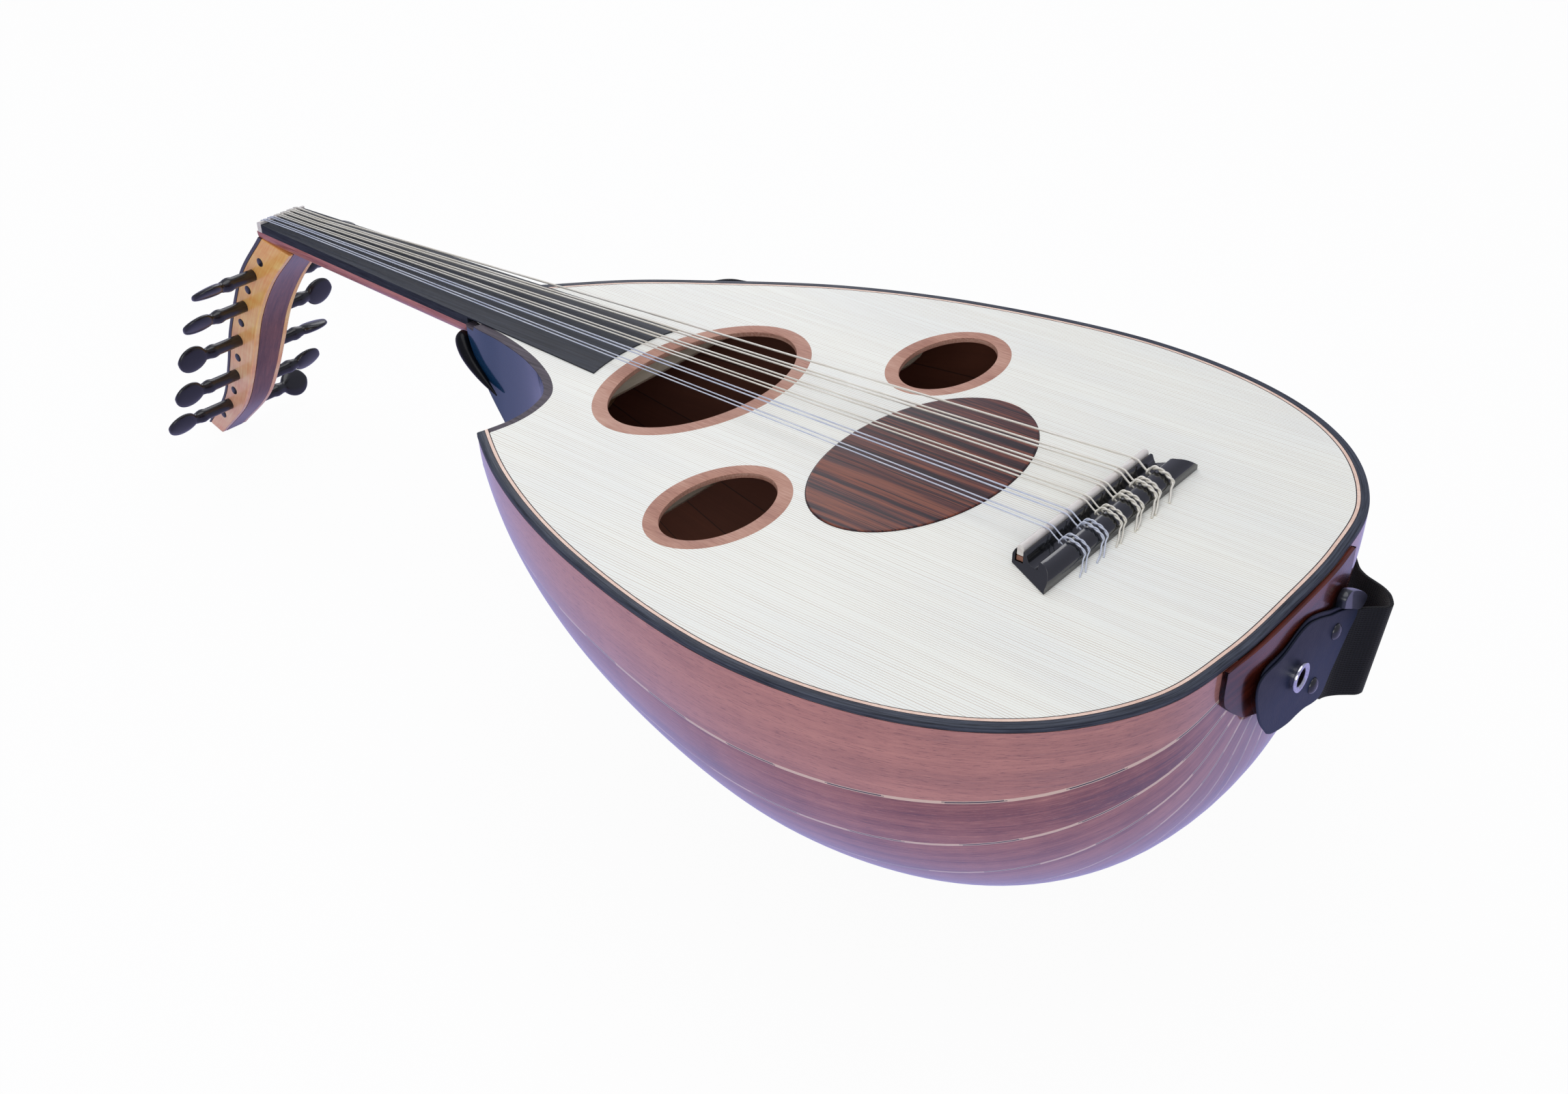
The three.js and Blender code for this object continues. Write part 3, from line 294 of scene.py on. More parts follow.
seen = path.outputs["Is Camera Ray"]
for join, sources in ((lit_or_mirrored, (glossy.outputs[0], plain.outputs[0], mirrored.outputs[0])),
                      (or_seen, (seen, lit_or_mirrored.outputs[0], backdrop.outputs[0]))):
    for socket, source in zip(join.inputs, sources):
        world_links.new(source, socket)
world_links.new(or_seen.outputs[0], world_nodes["World Output"].inputs["Surface"])
print("the backdrop is white")

# %% [markdown]
# ## Surfaces from grids
# Nearly every piece of an oud is a ring of points carried along a path: a rib, a string, a peg or the neck.
# So one function joins a grid of points into a closed skin, with the ends capped, and measures its own map
# along and across. Another puts one or more skins into a mesh object, which rides on a body and takes the
# place of a plain node. A third carries a round section along a path, for the strings and the edge of the
# heel.

# %% Skin and piece


def skin(rings, loop=False, marks=None):
    """A grid of points as a closed body: row r and column c join to r+1 and c+1, the columns go round each
    ring, the rows go round too if loop is set, and otherwise the first and the last ring are closed by a
    face each."""
    rings = np.asarray(rings, float)
    rows, columns = rings.shape[:2]
    r, c = np.meshgrid(np.arange(rows if loop else rows - 1), np.arange(columns), indexing="ij")
    down, right = (r + 1) % rows, (c + 1) % columns
    quads = np.stack([r * columns + c, r * columns + right, down * columns + right, down * columns + c], -1)
    around = np.vstack([rings, rings[:1]]) if loop else rings
    step_down = np.linalg.norm(np.diff(around, axis=0), axis=2).mean(1)
    along = np.concatenate([[0], np.cumsum(step_down)])
    wrapped = np.concatenate([rings, rings[:, :1]], 1)
    step_right = np.linalg.norm(np.diff(wrapped, axis=1), axis=2)
    across = np.concatenate([np.zeros((rows, 1)), np.cumsum(step_right, 1)], 1)
    across = np.vstack([across, across[:1]]) if loop else across
    corners = [(along[r + i], across[r + i, c + j]) for i, j in ((0, 0), (0, 1), (1, 1), (1, 0))]
    lay = np.stack([np.stack(pair, -1) for pair in corners], 2).reshape(-1, 2)
    faces = quads.reshape(-1, 4).tolist()
    if not loop:
        faces += [list(range(columns))[::-1], list(range((rows - 1) * columns, rows * columns))]
        lay = np.vstack([lay, np.stack([np.zeros(columns), across[0, :columns][::-1]], -1),
                         np.stack([np.full(columns, along[-1]), across[-1, :columns]], -1)])
    flat_marks = {name: np.asarray(value, float).reshape(-1) for name, value in (marks or {}).items()}
    return rings.reshape(-1, 3), faces, lay, flat_marks


def volume(points, faces):
    """Sum over all faces of one sixth of the triple product of their corners."""
    triangles = np.array([(f[0], f[i], f[i + 1]) for f in faces for i in range(1, len(f) - 1)])
    a, b, c = (points[triangles[:, k]] for k in range(3))
    return np.einsum("ij,ij->i", a, np.cross(b, c)).sum() / 6


def turned_out(points, faces, lay, marks):
    """The skin with each face's corners in the other order where its volume is below zero, which means that
    its faces point inwards. The map has a row for each corner, so it is turned face by face too."""
    if volume(points, faces) < 0:
        sizes = np.array([len(face) for face in faces])
        ends = np.cumsum(sizes)
        order = np.concatenate([np.arange(end - 1, end - size - 1, -1) for end, size in zip(ends, sizes)])
        faces, lay = [face[::-1] for face in faces], lay[order]
    return points, faces, lay, marks


def piece(name, skins, paint, body="oud", replaces=(), sharp=38, bevel=0.0):
    """One mesh object from skins, in millimetres from the saddle. sharp is the angle in degrees above which
    an edge stays crisp, and bevel the width in millimetres to which such an edge is rounded."""
    skins = [turned_out(*some) for some in skins]
    starts = np.cumsum([0] + [len(points) for points, *_ in skins])
    faces = [[int(start) + corner for corner in face]
             for start, some in zip(starts, skins) for face in some[1]]
    mesh = bpy.data.meshes.new(name)
    mesh.from_pydata(metres(np.vstack([some[0] for some in skins])).tolist(), [], faces)
    lay = np.vstack([some[2] for some in skins]) / MM_PER_M
    mesh.uv_layers.new(name="lay").data.foreach_set("uv", lay.astype(np.float32).ravel())
    for key in skins[0][3]:
        value = np.concatenate([some[3][key] for some in skins])
        mesh.attributes.new(key, "FLOAT", "POINT").data.foreach_set("value", value.astype(np.float32))
    mesh.polygons.foreach_set("use_smooth", np.ones(len(mesh.polygons), bool))
    made = bpy.data.objects.new(name, mesh)
    bpy.context.scene.collection.objects.link(made)
    if bevel:
        rounding = made.modifiers.new("rounding", "BEVEL")
        rounding.width, rounding.segments, rounding.harden_normals = bevel / MM_PER_M, 2, True
        rounding.limit_method, rounding.angle_limit = "ANGLE", math.radians(sharp)
    else:
        mesh.set_sharp_from_angle(angle=math.radians(sharp))
    mesh.materials.append(paint.material)
    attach(made, body)
    if replaces:
        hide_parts(*replaces)
    return made


def rod(path, radius, sides=10):
    """A round section carried along a path: at each place the ring stands square to the path."""
    path = np.asarray(path, float)
    way = np.gradient(path, axis=0)
    way /= np.linalg.norm(way, axis=1)[:, None]
    side = np.array([0, 1, 0]) - way * way[:, 1:2]
    side /= np.linalg.norm(side, axis=1)[:, None]
    up = np.cross(way, side)
    turn = np.linspace(0, 2 * np.pi, sides, endpoint=False)[None, :, None]
    radius = np.broadcast_to(radius, len(path))[:, None, None]
    return skin(path[:, None] + radius * (side[:, None] * np.cos(turn) + up[:, None] * np.sin(turn)))


print("tools ready")

# %% [markdown]
# ## The outline and the bowl
# The bowl is half an egg on its side: each cut across it is nearly half a circle, as wide as the outline of
# the soundboard is there. So the outline is drawn first, as one smooth curve through a few measured points,
# and the bowl turns it about the long axis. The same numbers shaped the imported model, so the two agree to a
# fraction of a millimetre.

# %% Outline of the body
GAP = 0.3
BODY_LENGTH, BODY_WIDTH, BOWL_DEPTH, TAIL_X, JOINT_WIDTH = 490, 369, 188, 108.5, 58
JOINT_X, HALF_BODY = TAIL_X - BODY_LENGTH, BODY_WIDTH / 2
DEPTH_RATIO = BOWL_DEPTH / HALF_BODY
RIM_DROP, BINDING_WIDTH, BINDING_DEPTH = 2.8, 4.9, 2.5
OUTLINE_SHARES = [(0.075, 0.362), (0.15, 0.512), (0.29, 0.75), (0.45, 0.912), (0.66, 1), (0.82, 0.926),
                  (0.92, 0.76), (0.98, 0.52), (0.997, 0.27)]


def smooth_curve(points, count, fine=60):
    """A curve through points, cut into equal lengths: between two points it is a cubic whose end slopes are
    weighted by the square roots of the spans round them, which keeps it from swinging out at close points."""
    points = np.asarray(points, float)
    padded = np.vstack([2 * points[0] - points[1], points, 2 * points[-1] - points[-2]])
    span = np.linalg.norm(np.diff(padded, axis=0), axis=1)[:, None] ** 0.5
    before, here, after = span[:-2], span[1:-1], span[2:]
    a, b, c, d = padded[:-3], padded[1:-2], padded[2:-1], padded[3:]
    start = ((b - a) / before - (c - a) / (before + here) + (c - b) / here) * here
    end = ((c - b) / here - (d - b) / (here + after) + (d - c) / after) * here
    t = np.linspace(0, 1, fine, endpoint=False)[None, :, None]
    cubic = (b, start, 3 * (c - b) - 2 * start - end, 2 * (b - c) + start + end)
    a, b, c, d = (factor[:, None] for factor in cubic)
    curve = np.vstack([(a + b * t + c * t ** 2 + d * t ** 3).reshape(-1, points.shape[1]), points[-1:]])
    length = np.concatenate([[0], np.cumsum(np.linalg.norm(np.diff(curve, axis=0), axis=1))])
    return at_shares(curve, length, np.linspace(0, length[-1], count))


def at_shares(curve, shares, wanted):
    """Places on a curve whose points each have a share or a length, at the shares or lengths wanted."""
    return np.stack([np.interp(wanted, shares, column) for column in curve.T], -1)


def ways(curve):
    """The way that a curve goes at each of its points, as arrows of length 1."""
    way = np.gradient(curve, axis=0)
    return way / np.linalg.norm(way, axis=1)[:, None]


near_points = [(JOINT_X, -JOINT_WIDTH / 2)] + [
    (JOINT_X + BODY_LENGTH * along, -HALF_BODY * across) for along, across in OUTLINE_SHARES]
far_points = [(x, -y) for x, y in near_points[::-1]]
OUTLINE = smooth_curve(near_points + [(TAIL_X, 0)] + far_points, 4001)
OUTLINE_WAY, OUTLINE_SHARE = ways(OUTLINE), np.linspace(0, 1, len(OUTLINE))


def edge(share, offset=0.0):
    """Place on the outline for a share of its length, from the neck on the cutaway side round the tail to the
    neck on the far side, moved square to it by an offset, outward where that is positive."""
    x, y, way_x, way_y = (np.interp(share, OUTLINE_SHARE, column) for column in (*OUTLINE.T, *OUTLINE_WAY.T))
    return x + way_y * offset, y - way_x * offset


def meridian(share, offset=0.0):
    """Place along the body and half width there, for a share from the neck joint, 0, to the tail, 1."""
    x, y = edge(np.asarray(share) / 2, offset)
    return x, -y


def rim_angle(radius):
    """Angle on the bowl at which its rim lies, a little under the top of the soundboard."""
    return np.arcsin(RIM_DROP / (DEPTH_RATIO * radius))


def angle_at(radius, share):
    """Angle on the bowl from rim, 0, to rim, 1, also where the bowl comes to its point."""
    rim = np.arcsin(np.minimum(RIM_DROP / (DEPTH_RATIO * np.maximum(radius, 1e-6)), 0.9))
    return rim + share * (np.pi - 2 * rim)


def bowl(share, angle, offset=0.0):
    """Point of the bowl: the half width turned by the angle, and stretched downward to the bowl's depth."""
    x, radius = meridian(share, offset)
    places = np.broadcast_arrays(x, -radius * np.cos(angle), -DEPTH_RATIO * radius * np.sin(angle))
    return np.stack(places, -1)


def share_where(test):
    """First share along the body, out of many, where a test on its place and half width holds."""
    shares = np.linspace(0, 1, 20001)
    return shares[np.argmax(test(*meridian(shares)))]


print("the body is", BODY_LENGTH, "mm long and", round(2 * -OUTLINE[:, 1].min(), 1), "mm wide")

# %% [markdown]
# ## The scoop of the cutaway
# The cutaway is an upright wall that follows a hooked curve in from the neck, so that the player's hand can
# come near the sound holes. The curve has one place along the body for each place across it, which makes it
# simple to ask whether a point of the bowl lies in the scoop.

# %% Curve of the scoop
SCOOP_DEPTH, SCOOP_LENGTH, SCOOP_START = 85, 107.5, 31
WALL_THICKNESS, HORN_THICKNESS = 6.5, 3.5
SCOOP_SHARES = [(0, 0), (0.14, 0.037), (0.32, 0.066), (0.53, 0.127), (0.68, 0.195), (0.83, 0.295),
                (0.93, 0.41), (0.985, 0.58), (1, 0.75), (0.985, 0.9), (0.96, 1.03), (0.93, 1.2)]
SCOOP = smooth_curve([(JOINT_X + SCOOP_LENGTH * a, -SCOOP_START - SCOOP_DEPTH * b) for a, b in SCOOP_SHARES],
                     1201)
SCOOP_WAY, SCOOP_SHARE = ways(SCOOP), np.linspace(0, 1, len(SCOOP))


def scoop_edge(inset=0.0, walled=False):
    """The scoop's curve moved into the body by an inset, and where walled by its wall's thickness too."""
    wall = WALL_THICKNESS + (HORN_THICKNESS - WALL_THICKNESS) * SCOOP_SHARE if walled else 0 * SCOOP_SHARE
    return SCOOP + np.stack([-SCOOP_WAY[:, 1], SCOOP_WAY[:, 0]], -1) * (wall + inset)[:, None]


def scooped(x, y, curve):
    """Whether a place in plan lies in the scoop: nearer the neck than its curve at the same place across."""
    away = -curve[:, 1]
    reach = np.interp(-y, away, curve[:, 0])
    return (-y > away[0]) & (x < reach)


def first_clear(angle, start, end, curve):
    """Share along the body past which a line of the bowl at this angle share stays clear of the scoop."""
    shares = np.linspace(start, end, 3001)
    x, radius = meridian(shares)
    inside = scooped(x, -radius * np.cos(angle_at(radius, angle)), curve)
    return shares[np.flatnonzero(inside)[-1] + 1] if inside.any() else start


FRONT_OF_WALL, BACK_OF_WALL = scoop_edge(), scoop_edge(walled=True)
print("the scoop runs", SCOOP_LENGTH, "mm along the body and", SCOOP_DEPTH, "mm into it")

# %% [markdown]
# ## Wood for the bowl
# The ribs are a reddish mahogany kind of wood under a thick gloss lacquer. Its looks come from three
# scales: slow dark and light bands along each rib, fine streaks of grain, and short dark pores. Along every
# joint runs a thin inlay, where a plain pale strip takes turns with one that is black between two pale
# lines. The pores and streaks are noise that is stretched along the piece's own map; the inlay is drawn
# from the distance to the joint, kept as a mark on each point.

# %% Rib wood
INLAY_WIDTH, INLAY_STEP, PALE_RIBS = 1.9, 25.0, (1, 15)
RIB_SHIFT_ACROSS, RIB_SHIFT_DEEP = 61.0, 7.0


def rib_paint(name, number):
    """Rib wood whose bands are moved by a number, so that no two ribs look alike."""
    paint = Paint(name, Roughness=0.22, Coat_Weight=1.0, Coat_Roughness=0.06, Specular_IOR_Level=0.5)
    lay = paint.lay()
    along, across = paint.part(lay, 0), paint.part(lay, 1)
    shifted = paint.vector(along, across + number * RIB_SHIFT_ACROSS, number * RIB_SHIFT_DEEP)
    bands = paint.figure(shifted, (0.0035, 0.085, 1), 4.0, 0.6)
    streaks = paint.figure(shifted, (0.02, 0.9, 1), 5.0, 0.7)
    pores = paint.figure(shifted, (0.13, 1.9, 1), 3.0, 0.75)
    flame = paint.figure(shifted, (0.05, 0.012, 1), 2.0, 0.5)
    tone = bands * 0.55 + streaks * 0.3 + flame * 0.15
    wood = paint.ramp(tone, [(0.36, rgb(92, 44, 56)), (0.45, rgb(134, 72, 66)), (0.53, rgb(162, 98, 88)),
                             (0.66, rgb(188, 124, 108))])
    wood = paint.mix(0.34 if number in PALE_RIBS else 0.0, wood, rgb(236, 172, 156))
    wood = paint.mix(paint.between(pores, 0.54, 0.68, 0, 0.6), wood, rgb(78, 34, 40))
    wood = paint.mix(paint.between(pores, 0.44, 0.32, 0, 0.45), wood, rgb(212, 156, 140))
    to_joint = paint.mark("to_joint")
    strip = paint.between(to_joint, INLAY_WIDTH / 2 + 0.08, INLAY_WIDTH / 2 - 0.08)
    core = paint.between(to_joint, INLAY_WIDTH * 0.2 + 0.06, INLAY_WIDTH * 0.2 - 0.06)
    turn = paint.single("FRACT", along / (2 * INLAY_STEP))
    dashed = paint.between(turn, 0.499, 0.501)
    rim = paint.between(to_joint, INLAY_WIDTH * 0.42, INLAY_WIDTH * 0.47)
    inlay = paint.mix(dashed * core, rgb(228, 198, 178), rgb(24, 22, 26))
    inlay = paint.mix(rim * dashed, inlay, rgb(60, 36, 40))
    face = paint.mix(strip, wood, inlay)
    inside = paint.mark("inside")
    bare = paint.mix(tone, rgb(88, 42, 26), rgb(144, 82, 54))
    bare = paint.mix(paint.between(to_joint, 0.5, 0.2, 0, 0.6), bare, rgb(30, 14, 10))
    paint.feed("Base Color", paint.mix(inside, face, bare))
    paint.feed("Coat Weight", 1.0 - inside)
    paint.feed("Roughness", 0.24 + inside * 0.4 + pores * 0.1)
    paint.bump(pores * 0.4 + streaks * 0.3, 0.05, 0.35)
    return paint


RIB_COUNT, RIB_THICKNESS, SIDE_RIB_SHARE, RIB_END_RADIUS, NECK_BLOCK_SHOW = 15, 2.6, 0.08, 50, 24
RIB_JOINTS = np.concatenate([[0], np.linspace(SIDE_RIB_SHARE, 1 - SIDE_RIB_SHARE, RIB_COUNT - 1), [1]])
RIB_START = share_where(lambda x, radius: x >= JOINT_X + NECK_BLOCK_SHOW + GAP)
RIB_END = share_where(lambda x, radius: (radius <= RIB_END_RADIUS) & (x > 0))
print("ribs run from", round(RIB_START, 3), "to", round(RIB_END, 3), "of the half outline")

# %% [markdown]
# ## Ribs
# Each rib is a thin bent strip, 2.6 mm thick, widest at the middle of the bowl and pointed at both ends. The
# grid has the share across the rib in one direction and the place along the bowl in the other. On the cutaway
# side each line along the rib starts where it comes clear of the scoop, so the cut edge is as smooth as the
# scoop itself.

# %% Make the ribs
RIB_ROWS, RIB_COLUMNS, NO_JOINT, RIB_TO_WALL = 72, 13, 99.0, 0.05
RIB_CUT = scoop_edge(RIB_TO_WALL, walled=True)


def rib_skin(low, high):
    """Outer and inner face of a rib between two joints, which are shares of the angle from rim to rim. Each
    line along it has its own start. The marks say how far off a joint is, and which face a point is on."""
    across = np.linspace(low, high, RIB_COLUMNS)
    starts = np.array([first_clear(share, RIB_START, RIB_END, RIB_CUT) for share in across])
    share = starts + (RIB_END - starts) * np.linspace(0, 1, RIB_ROWS)[:, None]
    angle = angle_at(meridian(share)[1], across)
    outer, inner = bowl(share, angle), bowl(share, angle, -RIB_THICKNESS)
    steps = np.linalg.norm(np.diff(outer, axis=1), axis=2)
    width = np.concatenate([np.zeros((RIB_ROWS, 1)), np.cumsum(steps, 1)], 1)
    left = width if low > 0 else np.full_like(width, NO_JOINT)
    right = width[:, -1:] - width if high < 1 else np.full_like(width, NO_JOINT)
    near = np.minimum(left, right)
    marks = {"to_joint": np.concatenate([near, near[:, ::-1]], 1),
             "inside": np.concatenate([np.zeros_like(near), np.ones_like(near)], 1)}
    return skin(np.concatenate([outer, inner[:, ::-1]], 1), marks=marks)


for number, (low, high) in enumerate(zip(RIB_JOINTS[:-1], RIB_JOINTS[1:]), 1):
    label = f"rib_{number:02d}"
    piece(label + "_wood", [rib_skin(low, high)], rib_paint(label + "_wood", number),
          replaces=[label], sharp=50)
print(RIB_COUNT, "ribs made")

# %% [markdown]
# ## Black lacquer
# The wall of the cutaway, the heel at the neck and the bridge are black under a deep gloss. A black is never
# quite flat: the lacquer has a slow ripple that bends reflections, and fine dust dulls it in places. The wall
# is painted dark blue instead of black, a painted reflection of a bluish room in its gloss.

# %% Gloss black


def gloss_black(name, colour=(16, 17, 21), rough=0.1, **constants):
    """Black lacquer: a coat over a dark ground, with ripples a few centimetres long."""
    settings = {"Coat_Weight": 0.6, "Coat_Roughness": 0.05, "Specular_IOR_Level": 0.6, **constants}
    paint = Paint(name, Roughness=rough, **settings)
    here = paint.place()
    ripple = paint.noise(here, 2.0, scale=0.03)
    dust = paint.noise(here, 4.0, 0.7, scale=0.9)
    dusty = paint.between(dust, 0.55, 0.8, 0, 0.3)
    paint.feed("Base Color", paint.mix(dusty, rgb(*colour), rgb(52, 54, 62)))
    paint.feed("Roughness", rough + paint.between(dust, 0.5, 0.75, 0, 0.12))
    paint.bump(ripple * 3 + dust * 0.05, 0.4, 0.3)
    return paint


# Painted reflection: the wall's ground is dark blue, standing in for a bluish room mirrored in its black
# lacquer.
wall_reflection_paint = gloss_black("wall_lacquer_painted_reflection", (20, 54, 88), 0.14, Coat_Weight=0.4)
heel_paint = gloss_black("heel_lacquer", (10, 11, 14), 0.3, Coat_Weight=0.1, Specular_IOR_Level=0.15)
print("two black lacquers mixed")

# %% [markdown]
# ## The wall of the cutaway
# The wall stands on the curve of the scoop, from the soundboard down to the bowl, whose faces it meets all
# along. So its front and its back are grids of upright columns, and the foot of each is the height of the
# bowl under that place. Past the edge of the body the wall ends, and its last places are moved onto the
# outline.

# %% How deep the bowl is under a place
PAST_WIDEST = 60
HALF_SHARES = np.linspace(0, 1, 4001)
RISING = slice(0, int(np.argmax(meridian(HALF_SHARES)[0] > PAST_WIDEST)))


def half_width_at(x, inset=0.0):
    """Half width of the body at a place along it, less an inset, for places ahead of the round tail."""
    line_x, line_radius = meridian(HALF_SHARES, -inset)
    return np.interp(x, line_x[RISING], line_radius[RISING])


def bowl_floor(x, y):
    """Height of the bowl's outer face under a place in plan, and the square of the half width there less
    that of y, which is below zero outside the outline."""
    inside = half_width_at(x) ** 2 - y ** 2
    return -DEPTH_RATIO * np.sqrt(np.maximum(inside, 0)), inside


def within_outline(places):
    """The places in plan, with those outside the body's outline moved onto it, at the same x."""
    return np.column_stack([places[:, 0], np.maximum(places[:, 1], -half_width_at(places[:, 0]))])


def upright(plan, top, bottom, count):
    """Columns of points over places in plan, from a top to a bottom."""
    height = top[:, None] + (bottom - top)[:, None] * np.linspace(0, 1, count)[None, :]
    return np.concatenate([np.repeat(plan[:, None], count, 1), height[..., None]], -1)


print("the bowl is", round(-float(bowl_floor(0, 0)[0]), 1), "mm deep under the saddle")

# %% Wall of the cutaway
WALL_COLUMNS, WALL_ROWS, RIM_THICKNESS = 121, 15, 0.5
LEAST_INSIDE, SURE_SHARE = 9, 0.3

wall_share = np.linspace(0, 1, WALL_COLUMNS)
front, back = (at_shares(curve, SCOOP_SHARE, wall_share) for curve in (FRONT_OF_WALL, BACK_OF_WALL))
keep = (bowl_floor(*front.T)[1] > LEAST_INSIDE) | (wall_share < SURE_SHARE)
front, back = within_outline(front[keep]), within_outline(back[keep])
in_board = -front[:, 1] < half_width_at(front[:, 0], BINDING_WIDTH)
wall_top = np.where(in_board, 0.0, -BINDING_DEPTH - GAP)
wall_faces = [upright(plan, wall_top - RIM_THICKNESS, np.minimum(bowl_floor(*plan.T)[0], -RIM_DROP),
                      WALL_ROWS) for plan in (front, back)]
piece("cutaway_wall_lacquered", [skin(np.concatenate([wall_faces[0], wall_faces[1][:, ::-1]], 1))],
      wall_reflection_paint, replaces=["cutaway_wall"], sharp=40)
print("the wall has", len(front), "columns")

# %% [markdown]
# ## The heel
# Where the neck meets the bowl, a black heel closes its narrow end. It is the bowl's own shape, a little
# fuller below, and a short rounded nose leads from it to the neck. In the photograph its edge shows as a
# black roll beside the wall of the cutaway. Here that is a rod: near the neck it is sunk in the wall, it
# thins out downward, and its thin end stands about 2 mm in front of the wall.

# %% Heel
HEEL_ROWS, HEEL_COLUMNS, NOSE_ROWS = 24, 49, 8
HEEL_FULLER, HEEL_NOSE, NOSE_DEPTH, NOSE_HALF, NOSE_TOP = 0.2, 7.0, 19.0, 25.0, 7.0
UNDER_BOARD = -RIM_DROP + 0.4
HEEL_EDGE = [(-386.5, -27, -11, 2.6), (-384.8, -30, -13, 4.2), (-380.1, -33, -17.4, 4.2),
             (-373.5, -35, -22.6, 3.5), (-362, -37, -29.4, 2.2), (-351, -38.5, -35, 0.4)]


def cross_rings(x, radius, first, last, columns):
    """Arcs across the body, one for each x: the half width turned from one angle to another, and stretched
    downward as the bowl is."""
    angles = first[:, None] + (last - first)[:, None] * np.linspace(0, 1, columns)[None, :]
    return np.stack([np.repeat(x[:, None], columns, 1), -radius[:, None] * np.cos(angles),
                     -DEPTH_RATIO * radius[:, None] * np.sin(angles)], -1)


def to_wall(x):
    """How far the back of the cutaway's wall is from the long axis."""
    return np.interp(x, BACK_OF_WALL[:, 0], -BACK_OF_WALL[:, 1])


heel_x, heel_radius = meridian(np.linspace(0.0, RIB_START, HEEL_ROWS))
cut_away = to_wall(heel_x)
first_angle = np.arccos(np.clip(cut_away / heel_radius, -1, 1))
first_angle = np.where(cut_away >= heel_radius, rim_angle(heel_radius), first_angle)
heel = cross_rings(heel_x, heel_radius, first_angle, np.pi - rim_angle(heel_radius), HEEL_COLUMNS)
heel[..., 2] *= 1 + HEEL_FULLER * np.cos(np.linspace(0, np.pi / 2, HEEL_ROWS))[:, None]

turn = np.linspace(np.pi / 2, 0, NOSE_ROWS + 1)[:-1, None]
full_depth = DEPTH_RATIO * heel_radius[0] * (1 + HEEL_FULLER)
narrowing = NOSE_HALF / heel_radius[0] + (1 - NOSE_HALF / heel_radius[0]) * np.cos(turn)
nose_top = NOSE_TOP * np.sin(turn)
nose_depth = NOSE_DEPTH + (full_depth - NOSE_DEPTH) * np.cos(turn)
nose_x = np.repeat(JOINT_X - HEEL_NOSE * np.sin(turn), HEEL_COLUMNS, 1)
nose = np.stack([nose_x, heel[:1, :, 1] * narrowing,
                 -nose_top + heel[:1, :, 2] / full_depth * (nose_depth - nose_top)], -1)
heel = np.vstack([nose, heel])
heel_top = heel[:, [-1, 0]] * [1, 1, 0] + [0, 0, UNDER_BOARD]
heel_top[:NOSE_ROWS, :, 2] -= nose_top
piece("neck_heel", [skin(np.concatenate([heel, heel_top], 1))], heel_paint,
      replaces=["neck_block"], sharp=60)
heel_edge = smooth_curve(HEEL_EDGE, 41)
piece("heel_edge", [rod(heel_edge[:, :3], heel_edge[:, 3], 20)], heel_paint, sharp=60)
print("the heel reaches", round(-heel[..., 2].min(), 1), "mm down")

# %% [markdown]
# ## Blocks inside
# Through the sound holes the neck block and the tail block can be seen: plain light wood, sawn and left bare.
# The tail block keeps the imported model's shape and only gets its wood; the neck block is made again, because
# its outside is the heel.

# %% Bare block wood
NECK_BLOCK_LENGTH, BLOCK_COLUMNS, BLOCK_END_ANGLE = 46, 33, np.pi - 0.12


def plain_wood(name, dark, light, stretch=(0.02, 0.5, 0.5), rough=0.55, coat=0.0):
    """Wood with grain along one way of the object: stretched noise between a dark and a light tone."""
    paint = Paint(name, Roughness=rough, Coat_Weight=coat, Coat_Roughness=0.08)
    here = paint.stretched(paint.place(), stretch)
    grain = paint.noise(here, 5.0, 0.65)
    slow = paint.noise(here, 2.0, scale=0.22)
    fine = paint.figure(here, (4, 4, 4), 3.0, 0.7)
    tone = grain * 0.5 + slow * 0.35 + fine * 0.15
    paint.feed("Base Color", paint.ramp(tone, [(0.36, rgb(*dark)), (0.62, rgb(*light))]))
    paint.feed("Roughness", rough + fine * 0.12 - 0.06)
    paint.bump(fine + grain, 0.06, 0.3)
    return paint


block_paint = plain_wood("bare_block", (148, 112, 80), (206, 172, 132))
tail_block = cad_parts["tail_block"].data
tail_block.materials.clear()
tail_block.materials.append(block_paint.material)

block_ends = JOINT_X + NECK_BLOCK_SHOW - 1, JOINT_X + NECK_BLOCK_LENGTH
block_shares = np.array([share_where(lambda x, radius, to=to: x >= to) for to in block_ends])
block_x, block_radius = meridian(block_shares, -RIB_THICKNESS - GAP)
first_angle = np.arccos(np.clip((to_wall(block_x) - GAP) / block_radius, -1, 1))
block = cross_rings(block_x, block_radius, first_angle, np.full(2, BLOCK_END_ANGLE), BLOCK_COLUMNS)
block_top = block[:, [-1, 0]] * [1, 1, 0] + [0, 0, UNDER_BOARD]
piece("neck_block_inside", [skin(np.concatenate([block, block_top], 1))], block_paint,
      replaces=["neck_block"], sharp=50)
print("the neck block shows", round(float(block_x[1] - block_x[0]), 1), "mm inside the bowl")

# %% [markdown]
# ## Soundboard
# The top is spruce, 2 mm thick, pale and only lightly finished. Its year rings show as fine straight lines
# along the strings, about 1.4 mm apart, a little pinkish, with slow changes of tone. The board is flat, so
# its two faces are cut from outlines that were worked out with numpy, with the three ovals taken out, and
# walls join them.

# %% Spruce
YEAR_RING = 1.45

